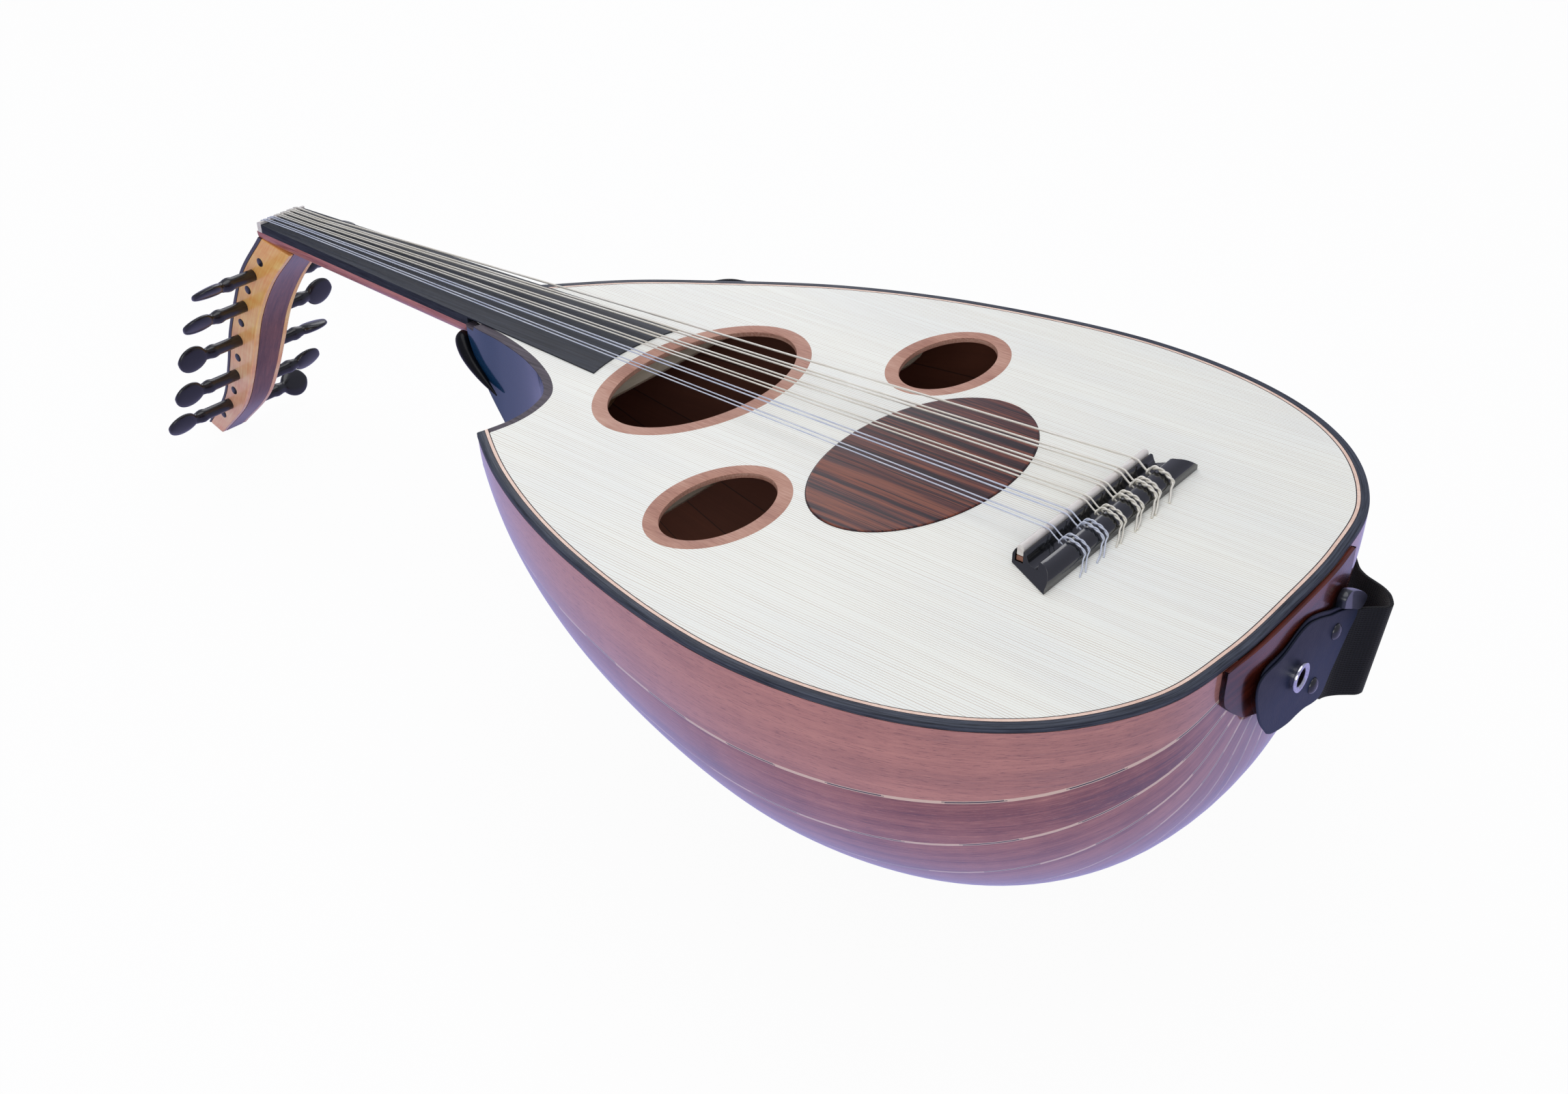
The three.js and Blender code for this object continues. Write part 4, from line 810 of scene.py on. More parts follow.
spruce = Paint("spruce_top", Roughness=0.5, Specular_IOR_Level=0.3)
here = spruce.place()
along, across = spruce.part(here, 0), spruce.part(here, 1)
drift = spruce.noise(spruce.vector(along * 0.0025, across * 0.02), 2.0)
years = across / YEAR_RING + drift * 5.0
saw, which = spruce.single("FRACT", years), spruce.single("FLOOR", years)
own = spruce.noise(spruce.vector(which * 3.7, along * 0.01), 1.0)
late = spruce.between(saw, 0.62, 0.92) * spruce.between(saw, 1.0, 0.94)
line = late * spruce.between(own, 0.25, 0.7, 0.35, 1.0)
cloud = spruce.noise(spruce.vector(along * 0.006, across * 0.02))
fibre = spruce.noise(spruce.vector(along * 0.06, across * 2.4), 3.0, 0.7)
pale = spruce.mix(spruce.between(cloud, 0.35, 0.65), rgb(248, 250, 243), rgb(244, 247, 243))
lined = spruce.mix(line * 0.95, pale, rgb(200, 180, 164))
lined = spruce.mix(spruce.between(fibre, 0.5, 0.8, 0, 0.25), lined, rgb(228, 220, 210))
spruce.feed("Base Color", lined)
spruce.feed("Roughness", 0.42 + line * 0.12)
spruce.bump(line * 0.5 + fibre * 0.3, 0.03, 0.3)
print("year rings", YEAR_RING, "mm apart")

# %% Soundboard with three holes
PURFLING_WIDTH, BOARD_UNDERSIDE, OVAL_POINTS = 1.3, -2.0, 128
LARGE_HOLE = {"to_saddle": RING_TO_SADDLE, "half_length": 44.5, "half_width": 71.5, "ring_width": 8.4,
              "to_axis": 0}
SMALL_HOLE = {"to_saddle": 136.4, "half_length": 29, "half_width": 41.9, "ring_width": 7.6, "to_axis": 93.3}
RING_PLACES = (("large", LARGE_HOLE, 0), ("treble", SMALL_HOLE, -1), ("bass", SMALL_HOLE, 1))


def oval(hole, side, grow=0.0, count=OVAL_POINTS):
    """Ellipse: the centre plus each half axis, grown alike, times the cosine or the sine of the turn."""
    turn = np.linspace(0, 2 * np.pi, count, endpoint=False)
    return np.stack([-hole["to_saddle"] + (hole["half_length"] + grow) * np.cos(turn),
                     side * hole["to_axis"] + (hole["half_width"] + grow) * np.sin(turn)], -1)


def flat_plate(outline, holes, low, high):
    """A level plate: both faces are triangles over the outline without the holes, and walls join them."""
    loops = [np.asarray(loop, float) for loop in (outline, *holes)]
    flat = np.vstack(loops)
    corners = [[Vector((x, y, 0)) for x, y in loop] for loop in loops]
    top = [list(triangle) for triangle in tessellate_polygon(corners)]
    a, b, c = (flat[np.array(top)[:, k]] for k in range(3))
    top = [t[::-1] if flip else t for t, flip in zip(top, np.cross(b - a, c - a) < 0)]
    total, faces, start = len(flat), [], 0
    for loop in loops:
        ids = start + np.arange(len(loop))
        after = np.roll(ids, -1)
        area = np.sum(loop[:, 0] * np.roll(loop[:, 1], -1) - np.roll(loop[:, 0], -1) * loop[:, 1])
        outward = (area > 0) == (start == 0)
        walls = np.stack([ids + total, after + total, after, ids], -1)
        faces += (walls if outward else walls[:, ::-1]).tolist()
        start += len(loop)
    faces = top + [[total + k for k in t[::-1]] for t in top] + faces
    points = np.vstack([np.column_stack([flat, np.full(total, height)]) for height in (high, low)])
    return points, faces, points[np.concatenate(faces)][:, :2], {}


def board_outline(inset):
    """Outline of the soundboard: the inner edge of the cutaway's wall as far as the edge of the body, and
    then that edge, moved in, round the tail to the neck."""
    x, radius = meridian(np.linspace(0, 1, 6001), -inset)
    rising = slice(0, int(np.argmax(x > PAST_WIDEST)))
    inside = -BACK_OF_WALL[:, 1] < np.interp(BACK_OF_WALL[:, 0], x[rising], radius[rising])
    wall = BACK_OF_WALL[inside][::8]
    share = np.linspace(0, 1, 1601)
    round_x, round_y = edge(share, -inset)
    near = (share < 0.25) & (scooped(round_x, round_y, BACK_OF_WALL) | (round_x < wall[-1, 0]))
    rest = np.stack([round_x, round_y], -1)[~near & (round_x > JOINT_X)][::5]
    return np.vstack([wall, rest])


outline = board_outline(BINDING_WIDTH + PURFLING_WIDTH)
board = flat_plate(outline, [oval(hole, side) for _, hole, side in RING_PLACES], BOARD_UNDERSIDE, 0.0)
piece("soundboard_spruce", [board], spruce, replaces=["soundboard"], sharp=30)
print(len(outline), "points round the soundboard")

# %% [markdown]
# ## Bars
# Under the soundboard run four bars of spruce, glued on edge across it. Their ends are cut away so that the
# board can swing, and their lower edge is rounded. The first one stands close to the large hole and shows
# through it. It is shorter on the cutaway side, where it stops at the wall.

# %% Bars under the soundboard
BAR_DEPTH, BAR_PLACES, BAR_COLUMNS, BAR_REACH = 20, (279.0, 175.87, 88.01, 19.99), 41, 0.86
BAR_END_SHARE, BAR_END_HEIGHT, BAR_END_POWER, BAR_HALF, BAR_TOP = 0.16, 0.15, 0.7, 3, -1.9
BAR_PROFILE = np.array([(-BAR_HALF, 0), (BAR_HALF, 0), (BAR_HALF, 0.55), (2.4, 0.85), (0, 1), (-2.4, 0.85),
                        (-BAR_HALF, 0.55)])
hook = slice(0, int(np.argmax(BACK_OF_WALL[:, 0])))


def bar_skin(to_saddle):
    """One bar: its profile at each share across the body, stretched from the board to the bar's lower edge,
    which rises at the ends by a power of the distance to them."""
    half = BAR_REACH * half_width_at(-to_saddle)
    across = np.linspace(-1, 1, BAR_COLUMNS)
    to_end = (1 - np.abs(across)) / BAR_END_SHARE
    low = BOARD_UNDERSIDE - BAR_DEPTH * np.clip(to_end, BAR_END_HEIGHT, 1) ** BAR_END_POWER
    if -to_saddle < BACK_OF_WALL[:, 0].max():
        near_end = np.interp(-to_saddle - BAR_HALF, BACK_OF_WALL[hook, 0], -BACK_OF_WALL[hook, 1]) - GAP
        across = np.linspace(-near_end / half, 1, BAR_COLUMNS)
    x = -to_saddle + np.repeat(BAR_PROFILE[None, :, 0], BAR_COLUMNS, 0)
    y = np.repeat(across[:, None] * half, len(BAR_PROFILE), 1)
    return skin(np.stack([x, y, BAR_TOP + (low[:, None] - BAR_TOP) * BAR_PROFILE[None, :, 1]], -1))


bar_paint = plain_wood("bar_spruce", (238, 224, 198), (255, 244, 222), (0.3, 0.03, 0.4))
piece("soundboard_bars", [bar_skin(place) for place in BAR_PLACES], bar_paint,
      replaces=["soundboard"], sharp=30)
print(len(BAR_PLACES), "bars made")

# %% [markdown]
# ## Rings, purfling and binding
# Each sound hole has a flat ring of pinkish wood let into the top. Round the whole top lies a thin
# purfling, a pale line between two dark ones, and outside that the dark ebony binding that guards the edge.
# A thin dark rim covers the top of the cutaway's wall.

# %% Rings round the sound holes
ring_paint = Paint("ring_wood", Roughness=0.5, Specular_IOR_Level=0.3)
here = ring_paint.place()
grain = ring_paint.figure(here, (0.09, 1.5, 1), 4.0, 0.7)
slow = ring_paint.figure(here, (0.01, 0.05, 1), 2.0)
ring_paint.feed("Base Color", ring_paint.ramp(grain * 0.6 + slow * 0.4, [
    (0.36, rgb(154, 104, 90)), (0.5, rgb(186, 138, 120)), (0.64, rgb(204, 162, 144))]))
ring_paint.bump(grain, 0.04, 0.4)


def oval_rows(hole, side, edges, count=OVAL_POINTS):
    """Rows of points round an oval, one for each pair of a growth and a height."""
    return [np.column_stack([oval(hole, side, grow, count), np.full(count, height)])
            for grow, height in edges]


for name, hole, side in RING_PLACES:
    width = hole["ring_width"]
    edges = [(0.0, -2.6), (0.0, 0.0), (-0.1, 0.06), (-width + 0.5, 0.06), (-width + 0.1, -0.1),
             (-width, -0.5), (-width, -2.6)]
    piece(f"ring_{name}_wood", [skin(np.stack(oval_rows(hole, side, edges), 1), loop=True)], ring_paint,
          replaces=[f"soundhole_ring_{name}"], sharp=30)
    print("the", name, "ring is", width, "mm wide")

# %% Ebony binding and the purfling inside it
PURFLING_UNDER_BINDING, PURFLING_LOW, STRIP_END = 1.4, -0.9, 0.9995


def ebony(name, dark=(24, 26, 32), light=(66, 70, 80), stretch=(0.03, 0.9, 0.9), rough=0.45, lay=False):
    """Ebony: a near black, with paler grey streaks along the grain and fine open pores."""
    paint = Paint(name, Roughness=rough, Specular_IOR_Level=0.16)
    here = paint.stretched(paint.lay() if lay else paint.place(), stretch)
    grain = paint.noise(here, 5.0, 0.7)
    pores = paint.figure(here, (3, 3, 3), 2.0, 0.8)
    paint.feed("Base Color", paint.ramp(grain * 0.7 + pores * 0.3, [(0.38, rgb(*dark)), (0.64, rgb(*light))]))
    paint.feed("Roughness", rough + pores * 0.2 - 0.1)
    paint.bump(grain + pores, 0.05, 0.35)
    return paint


def edge_strip(outer, inner, low, high, count=601):
    """A strip that follows the outline between two insets: each line along it starts past the scoop."""
    section = [(outer, low), (outer, high - 0.35), (outer + 0.35, high), ((outer + inner) / 2, high),
               (inner - 0.1, high), (inner, high - 0.1), (inner, low)]
    lines = []
    for inset, height in section:
        share = np.linspace(0, 0.5, 20001)
        start = share[np.flatnonzero(scooped(*edge(share, -inset), FRONT_OF_WALL))[-1] + 1]
        x, y = edge(np.linspace(start, STRIP_END, count), -inset)
        lines.append(np.column_stack([x, y, np.full(count, height)]))
    return skin(np.stack(lines, 1))


binding_paint = ebony("binding_ebony", (30, 33, 42), (84, 90, 104), (0.03, 1.2, 1.2), 0.4, lay=True)
piece("binding_ebony", [edge_strip(0.0, BINDING_WIDTH, -BINDING_DEPTH, 0.0)], binding_paint,
      replaces=["edge_binding"], sharp=50)
pale_paint = plain_wood("purfling_pale", (226, 190, 172), (250, 222, 206), (0.2, 0.2, 0.2), 0.4)
dark_paint = ebony("purfling_dark", (36, 32, 38), (70, 60, 66))
FIRST, SECOND = BINDING_WIDTH - PURFLING_UNDER_BINDING, BINDING_WIDTH + PURFLING_WIDTH
piece("purfling_dark_lines", [edge_strip(FIRST, SECOND, PURFLING_LOW, 0.01)], dark_paint)
piece("purfling_pale_line", [edge_strip(FIRST + 0.35, SECOND - 0.4, PURFLING_LOW, 0.025)], pale_paint)
print("the binding is", BINDING_WIDTH, "mm wide")

# %% Rim on the wall
rim_paint = ebony("cutaway_rim_ebony", (54, 48, 56), (100, 92, 102), (0.03, 0.5, 0.5), 0.5)
rim_front, rim_back = (upright(plan, wall_top, wall_top - RIM_THICKNESS, 2) for plan in (front, back))
piece("cutaway_rim", [skin(np.concatenate([rim_front, rim_back[:, ::-1]], 1))], rim_paint,
      sharp=40)
print("the rim is", RIM_THICKNESS, "mm thick")

# %% [markdown]
# ## Pickguard
# The oval plate between the sound holes and the bridge is a thin veneer of rosewood, which takes the
# strokes of the plectrum. Its stripes, almost black on orange brown, run along the strings.

# %% Rosewood
rosewood = Paint("rosewood_stripes", Roughness=0.4, Specular_IOR_Level=0.3)
here = rosewood.place()
along, across = rosewood.part(here, 0), rosewood.part(here, 1)
bent = across + 6.0 * rosewood.noise(rosewood.vector(along * 0.006, across * 0.01), 2.0)
bent = bent + 1.2 * rosewood.noise(rosewood.vector(along * 0.03, across * 0.03), 2.0)
bands = rosewood.noise(rosewood.vector(along * 0.004, bent * 0.2), 5.0, 0.62)
fine = rosewood.noise(rosewood.vector(along * 0.03, bent * 1.6), 4.0, 0.7)
colour = rosewood.ramp(bands * 0.75 + fine * 0.25, [
    (0.36, rgb(28, 18, 24)), (0.44, rgb(50, 29, 34)), (0.5, rgb(92, 48, 44)), (0.58, rgb(136, 76, 54)),
    (0.68, rgb(116, 62, 52))])
streak = rosewood.noise(rosewood.vector(along * 0.01, bent * 0.55 + 40.0), 2.0)
colour = rosewood.mix(rosewood.between(streak, 0.57, 0.66, 0, 0.85), colour, rgb(28, 20, 26))
rosewood.feed("Base Color", colour)
rosewood.feed("Roughness", 0.28 + fine * 0.1)
rosewood.bump(fine, 0.04, 0.3)
print("rosewood mixed")

# %% Pickguard
PICKGUARD, PICKGUARD_POINTS = {"to_saddle": 85.2, "half_length": 44.1, "half_width": 74.4, "to_axis": 0}, 160
PLATE_EDGES = ((0.0, 0.0), (0.0, 0.42), (-0.18, 0.6), (-0.8, 0.6))
LINE_EDGES = ((0.45, 0.0), (0.45, 0.06), (-0.2, 0.06), (-0.2, 0.0))

plate, line = (oval_rows(PICKGUARD, 0, edges, PICKGUARD_POINTS) for edges in (PLATE_EDGES, LINE_EDGES))
piece("pickguard_rosewood", [skin(np.stack(plate))], rosewood, replaces=["pickguard"],
      sharp=60)
piece("pickguard_edge_line", [skin(np.stack(line, 1), loop=True)], dark_paint)
print("the pickguard is", 2 * PICKGUARD["half_width"], "mm across")

# %% [markdown]
# ## Neck, fingerboard and nut
# An oud has no frets. Its fingerboard is one smooth ebony board, which starts at the nut and ends in a
# shallow curve round the large ring. The neck under it is half round in section, and tapers toward the nut.
# Both are rings of points carried along the strings; where the board leaves the neck and lies on the
# soundboard it is only a thin overlay.

# %% Fingerboard
NUT_X, NUT_WIDTH, NUT_THICKNESS, PAST_NUT = -585, 34.4, 4, 1.5
BOARD_RISE, BOARD_THICKNESS, BOARD_END_WIDTH, BOARD_END_GAP, BOARD_COLUMNS = 0.8, 5.6, 66, 9, 25
OVERLAY_UNDERSIDE, BOARD_EDGE_OUT, BOARD_EDGE_DOWN = 0.02, 0.12, 0.25
NECK_END_X = NUT_X - NUT_THICKNESS - PAST_NUT
BOARD_END_X = -LARGE_HOLE["to_saddle"] - LARGE_HOLE["half_length"] - BOARD_END_GAP


def neck_half_width(x):
    """Half width of neck and fingerboard, straight from the nut to the end of the board."""
    return (NUT_WIDTH + (BOARD_END_WIDTH - NUT_WIDTH) * (x - NUT_X) / (BOARD_END_X - NUT_X)) / 2


across = np.linspace(-1, 1, BOARD_COLUMNS)
end_bow = np.sqrt(1 - (across * BOARD_END_WIDTH / 2 / (LARGE_HOLE["half_width"] + BOARD_END_GAP)) ** 2)
board_end = -LARGE_HOLE["to_saddle"] - (LARGE_HOLE["half_length"] + BOARD_END_GAP) * end_bow


def board_ring(x, underside):
    """Ring round the fingerboard: the top face, a worn edge, the underside, and the other edge."""
    y = across * neck_half_width(x)
    top, low = (np.stack([x, y, np.full(BOARD_COLUMNS, height)], -1) for height in (BOARD_RISE, underside))
    edges = [[(x[k], y[k] + out, BOARD_RISE - BOARD_EDGE_DOWN)]
             for k, out in ((-1, BOARD_EDGE_OUT), (0, -BOARD_EDGE_OUT))]
    return np.vstack([top, edges[0], low[::-1], edges[1]])


board_start = NUT_X + GAP
rows = [board_ring(np.full(BOARD_COLUMNS, board_start + (JOINT_X - board_start) * step),
                   BOARD_RISE - BOARD_THICKNESS) for step in np.linspace(0, 1, 9)]
rows.append(board_ring(np.full(BOARD_COLUMNS, JOINT_X), OVERLAY_UNDERSIDE))
rows += [board_ring(JOINT_X + (board_end - JOINT_X) * (step - 1), OVERLAY_UNDERSIDE)
         for step in np.linspace(1, 2, 17)[1:]]
board_ebony = ebony("fingerboard_ebony", (20, 23, 30), (52, 57, 68), (0.02, 0.8, 0.8), 0.42)
piece("fingerboard_ebony", [skin(np.stack(rows))], board_ebony, replaces=["fingerboard"], sharp=50)
print("the fingerboard is", round(float(board_end[0]) - NUT_X), "mm long")

# %% Neck
NECK_DEPTH_JOINT, NECK_DEPTH_NUT, NECK_ROWS, NECK_COLUMNS, NECK_FULLNESS = 18.6, 16.5, 12, 41, 0.8
NECK_TOP = BOARD_RISE - BOARD_THICKNESS - 0.02
neck_paint = plain_wood("neck_mahogany", (150, 76, 70), (206, 130, 116), (0.03, 0.7, 0.7), 0.34, 0.3)


def neck_ring(x):
    """Half round section of the neck: a cosine across it, and a power of the sine downward."""
    turn = np.linspace(0, np.pi, NECK_COLUMNS)
    depth = NECK_DEPTH_JOINT + (NECK_DEPTH_NUT - NECK_DEPTH_JOINT) * (x - JOINT_X) / (NECK_END_X - JOINT_X)
    return np.stack([np.full(NECK_COLUMNS, x), -neck_half_width(x) * np.cos(turn),
                     NECK_TOP + (-depth - NECK_TOP) * np.sin(turn) ** NECK_FULLNESS], -1)


rows = [neck_ring(x) for x in np.linspace(JOINT_X - GAP, NECK_END_X, NECK_ROWS)]
piece("neck_mahogany", [skin(np.stack(rows))], neck_paint, replaces=["neck"], sharp=60)
print("the neck tapers to", 2 * round(neck_half_width(NUT_X), 1), "mm at the nut")

# %% [markdown]
# ## Bone for the nut and the saddle
# The nut and the saddle are bone: warm white, a little cloudy, polished where the strings run. Light goes a
# little way into bone, so its paint has some subsurface.

# %% Bone and the nut
bone = Paint("polished_bone", Roughness=0.32, Coat_Weight=0.3, Coat_Roughness=0.15, Subsurface_Weight=0.08,
             Subsurface_Radius=(0.001, 0.0008, 0.0006))
cloud = bone.figure(bone.place(), (0.4, 0.08, 0.6))
bone.feed("Base Color", bone.ramp(cloud, [(0.35, rgb(216, 208, 204)), (0.65, rgb(232, 228, 224))]))
bone.feed("Roughness", 0.28 + cloud * 0.15)
bone.bump(cloud, 0.1, 0.2)


def across_strings(profile, lanes):
    """A profile of (x, z) repeated at each place across the strings."""
    return np.stack([np.column_stack([profile[:, 0], np.full(len(profile), y), profile[:, 1]])
                     for y in lanes])


NUT_FOOT = -4.8
nut_profile = np.array([(NUT_X - NUT_THICKNESS, NUT_FOOT), (NUT_X, NUT_FOOT), (NUT_X, 2.1),
                        (NUT_X - 0.3, 2.4), (NUT_X - 1.6, 2.2), (NUT_X - NUT_THICKNESS, 1.2)])
nut = across_strings(nut_profile, np.linspace(-NUT_WIDTH / 2, NUT_WIDTH / 2, 25))
piece("nut_bone", [skin(nut)], bone, replaces=["nut"], bevel=0.3)
print("the nut is", NUT_WIDTH, "mm wide")

# %% [markdown]
# ## Bridge
# The bridge is one profile drawn across the strings: a slot for the saddle in front, a valley behind it,
# and a round topped block that the strings are tied round. Its two ends flare: the front is shorter than
# the tie block, and a hollow curve joins them. So the half length of the bridge is worked out for each
# point of the profile.

# %% Make the bridge
BRIDGE_SHIFT, TIE_HALF, FRONT_HALF, BRIDGE_FRONT, BRIDGE_BACK, FLARE_POWER = 6, 68.4, 55.2, 3.4, 21.4, 2.4
TIE_HEIGHT, TIE_VALLEY, TIE_ROUND_X, STRING_HOLE_HEIGHT, SADDLE_TOP = 7.6, 2.4, 15.8, 4.2, 10
round_back = [(TIE_ROUND_X + (BRIDGE_BACK - TIE_ROUND_X) * math.sin(a),
               TIE_VALLEY + (TIE_HEIGHT - TIE_VALLEY) * math.cos(a)) for a in np.linspace(0, np.pi / 2, 9)]
profile = np.array([(-BRIDGE_FRONT, 0), (-BRIDGE_FRONT, 4.9),
                    (-3.1, 5.6), (-2.2, 7.5), (-1.9, 7.7), (-1.9, 1.6),
                    (2.3, 1.6), (2.3, 7.6), (2.5, 7.75), (3.4, 7.75), (3.75, 7.5), (4.6, 5.2), (5.6, 3.2),
                    (6.8, TIE_VALLEY), (10.2, TIE_VALLEY), (10.9, 2.7), (11.6, 6.6), (12.1, 7.3),
                    (12.9, TIE_HEIGHT)] + round_back + [(BRIDGE_BACK, 0)])
share = np.clip((profile[:, 0] + BRIDGE_FRONT) / (BRIDGE_BACK + BRIDGE_FRONT), 0, 1)
half = FRONT_HALF + (TIE_HALF - FRONT_HALF) * (1 - np.sqrt(1 - share ** FLARE_POWER))
rows = [np.column_stack([profile[:, 0], BRIDGE_SHIFT + t * half, profile[:, 1]])
        for t in np.linspace(-1, 1, 33)]
bridge_paint = gloss_black("bridge_lacquer", (14, 15, 17), 0.16)
piece("bridge_black", [skin(np.stack(rows))], bridge_paint, replaces=["bridge"], bevel=0.25)
print("the bridge is", 2 * TIE_HALF, "mm long")

# %% Saddle, and the pickup strip under it
SADDLE_FRONT, SADDLE_BACK, SADDLE_LOW, SADDLE_CROWN, CROWN_RADIUS = -1.6, 2.0, 4.6, 8.2, 1.8
PICKUP_LOW, PICKUP_HIGH, SADDLE_INSET = 1.9, 4.3, 0.6

crown = np.linspace(0, np.pi, 11)
crown_x, crown_z = 0.2 + CROWN_RADIUS * np.cos(crown), SADDLE_CROWN + CROWN_RADIUS * np.sin(crown)
saddle_profile = np.vstack([[(SADDLE_BACK, SADDLE_LOW)], np.column_stack([crown_x, crown_z]),
                            [(SADDLE_FRONT, SADDLE_LOW)]])
saddle_ends = BRIDGE_SHIFT - FRONT_HALF + SADDLE_INSET, BRIDGE_SHIFT + FRONT_HALF - SADDLE_INSET
saddle = across_strings(saddle_profile, np.linspace(*saddle_ends, 41))
piece("saddle_bone", [skin(saddle)], bone, replaces=["saddle"], bevel=0.3)
pickup_paint = plain_wood("pickup_strip_brown", (110, 70, 56), (156, 106, 86), (0.3, 0.05, 0.3), 0.5)
pickup_profile = np.array([(SADDLE_FRONT, PICKUP_LOW), (SADDLE_BACK, PICKUP_LOW), (SADDLE_BACK, PICKUP_HIGH),
                           (SADDLE_FRONT, PICKUP_HIGH)])
pickup = across_strings(pickup_profile, np.linspace(*saddle_ends, 9))
piece("pickup_strip_cover", [skin(pickup)], pickup_paint, replaces=["pickup_strip"], bevel=0.15)
print("the saddle is", round(saddle_ends[1] - saddle_ends[0], 1), "mm long")

# %% [markdown]
# ## Pegbox
# The pegbox bends back under the nut, so that the strings press on it. It has two honey coloured cheeks,
# edged in black along the open front, and a darker back between them. Every place in it is a share of the
# way down and a share of the way from the front edge to the back edge, which makes cheeks, back and pegs
# fit one another.

# %% Places in the pegbox
REACH, DROP, TOP_DROP, CHEEK_THICKNESS, BACK_THICKNESS = 116, 176.7, 9, 4, 5
TOP_HALF, END_HALF, NARROWING_POWER = 17, 10.5, 0.8
FRONT_SHARES = [(0, 0), (0.259, 0.178), (0.397, 0.325), (0.53, 0.489), (0.625, 0.649), (0.746, 0.81),
                (0.985, 0.985)]
BACK_SHARES = [(-0.259, 0.029), (-0.004, 0.19), (0.19, 0.368), (0.31, 0.534), (0.411, 0.672), (0.547, 0.816),
               (0.862, 1.01)]
FRONT_EDGE, BACK_EDGE = (
    smooth_curve([(NECK_END_X - REACH * a, -TOP_DROP - DROP * b) for a, b in shares], 1001)
    for shares in (FRONT_SHARES, BACK_SHARES))


def in_pegbox(share, depth):
    """Place (x, z) at a share of the way down, and at a depth from the front edge, 0, to the back, 1."""
    share, depth = np.broadcast_arrays(np.asarray(share, float), np.asarray(depth, float))
    steps = np.linspace(0, 1, len(FRONT_EDGE))
    front_place, back_place = (at_shares(line, steps, share) for line in (FRONT_EDGE, BACK_EDGE))
    return front_place + (back_place - front_place) * depth[..., None]


def pegbox_half(share):
    """Half width of the pegbox, narrowing downward."""
    return TOP_HALF + (END_HALF - TOP_HALF) * np.asarray(share) ** NARROWING_POWER


print("the pegbox reaches", DROP + TOP_DROP, "mm down")

# %% Honey coloured wood
cheek_paint = Paint("cheek_honey", Roughness=0.3, Coat_Weight=0.4, Coat_Roughness=0.12)
lay = cheek_paint.lay()
grain = cheek_paint.figure(lay, (0.03, 0.6, 1), 5.0, 0.65)
flame = cheek_paint.figure(lay, (0.06, 0.03, 1), 2.0)
height = cheek_paint.part(cheek_paint.place(), 2)
low_tone = cheek_paint.between(height, -60.0, -150.0)
warm = cheek_paint.ramp(grain * 0.5 + flame * 0.5, [(0.36, rgb(242, 158, 74)), (0.62, rgb(255, 212, 132))])
pink = cheek_paint.ramp(grain * 0.5 + flame * 0.5, [(0.36, rgb(240, 166, 132)), (0.62, rgb(255, 214, 180))])
cheek_paint.feed("Base Color", cheek_paint.mix(low_tone, warm, pink))
cheek_paint.bump(grain, 0.04, 0.3)
edging_paint = gloss_black("edging_black", (20, 20, 24), 0.3)
print("honey wood and its black edging mixed")

# %% Cheeks with black edging
EDGING, EDGING_PROUD, CHEEK_ROWS = 0.18, 0.08, 61


def cheek_skin(side, first, last, thick, lift):
    """A cheek between two depth shares: its outer face, lifted a little or not, and its inner face."""
    down = np.linspace(0, 1, CHEEK_ROWS)
    place = in_pegbox(down[:, None], np.linspace(first, last, 9)[None, :])
    faces = []
    for away in (lift, -thick):
        y = np.broadcast_to(side * (pegbox_half(down)[:, None] + away), place.shape[:2])
        faces.append(np.stack([place[..., 0], y, place[..., 1]], -1))
    return skin(np.concatenate([faces[0], faces[1][:, ::-1]], 1))


for name, side in (("treble", -1), ("bass", 1)):
    piece(f"cheek_{name}_wood", [cheek_skin(side, EDGING * 0.5, 1.0, CHEEK_THICKNESS, 0.0)], cheek_paint,
          replaces=[f"pegbox_cheek_{name}"], bevel=0.9)
    edging = cheek_skin(side, -0.004, EDGING * 0.55, CHEEK_THICKNESS + 0.05, EDGING_PROUD)
    piece(f"cheek_{name}_edging", [edging], edging_paint, bevel=0.3)
    print("the", name, "cheek is made")

# %% Back of the pegbox
BACK_CLOSED_FROM, CLOSED_DEPTH, INTO_CHEEK = 0.952, 0.03, 0.1
back_paint = plain_wood("pegbox_back_wood", (78, 36, 34), (130, 76, 68), (0.05, 0.5, 0.05), 0.3, 0.35)


def back_ring(share):
    """Ring round the back board: its outer face, and its inner face, which at the lower end lies near the
    front edge, so that the board closes that end."""
    half = float(pegbox_half(share)) - CHEEK_THICKNESS + INTO_CHEEK
    outer = in_pegbox(share, 1.0)
    width = np.linalg.norm(outer - in_pegbox(share, 0.0))
    depth = 1 - BACK_THICKNESS / width if share < BACK_CLOSED_FROM else CLOSED_DEPTH
    inner = in_pegbox(share, depth)
    across = np.linspace(-1, 1, 11)
    return np.vstack([[(outer[0], half * t, outer[1]) for t in across],
                      [(inner[0], half * t, inner[1]) for t in across[::-1]]])


rows = [back_ring(share) for share in np.concatenate([np.linspace(0, 0.95, 58), [0.955, 0.97, 1.0]])]
piece("pegbox_back_board", [skin(np.stack(rows))], back_paint, replaces=["pegbox_back"],
      sharp=50)
print("the back board is", BACK_THICKNESS, "mm thick")

# %% [markdown]
# ## Pegs
# Each of the eleven pegs is turned from black wood: a slightly tapered shaft through both cheeks, a soft
# swelling and a flat round head for the fingers. A lathe alone gives round pieces, so each station along the
# peg has its own width and its own thickness, and the ring there is an ellipse.

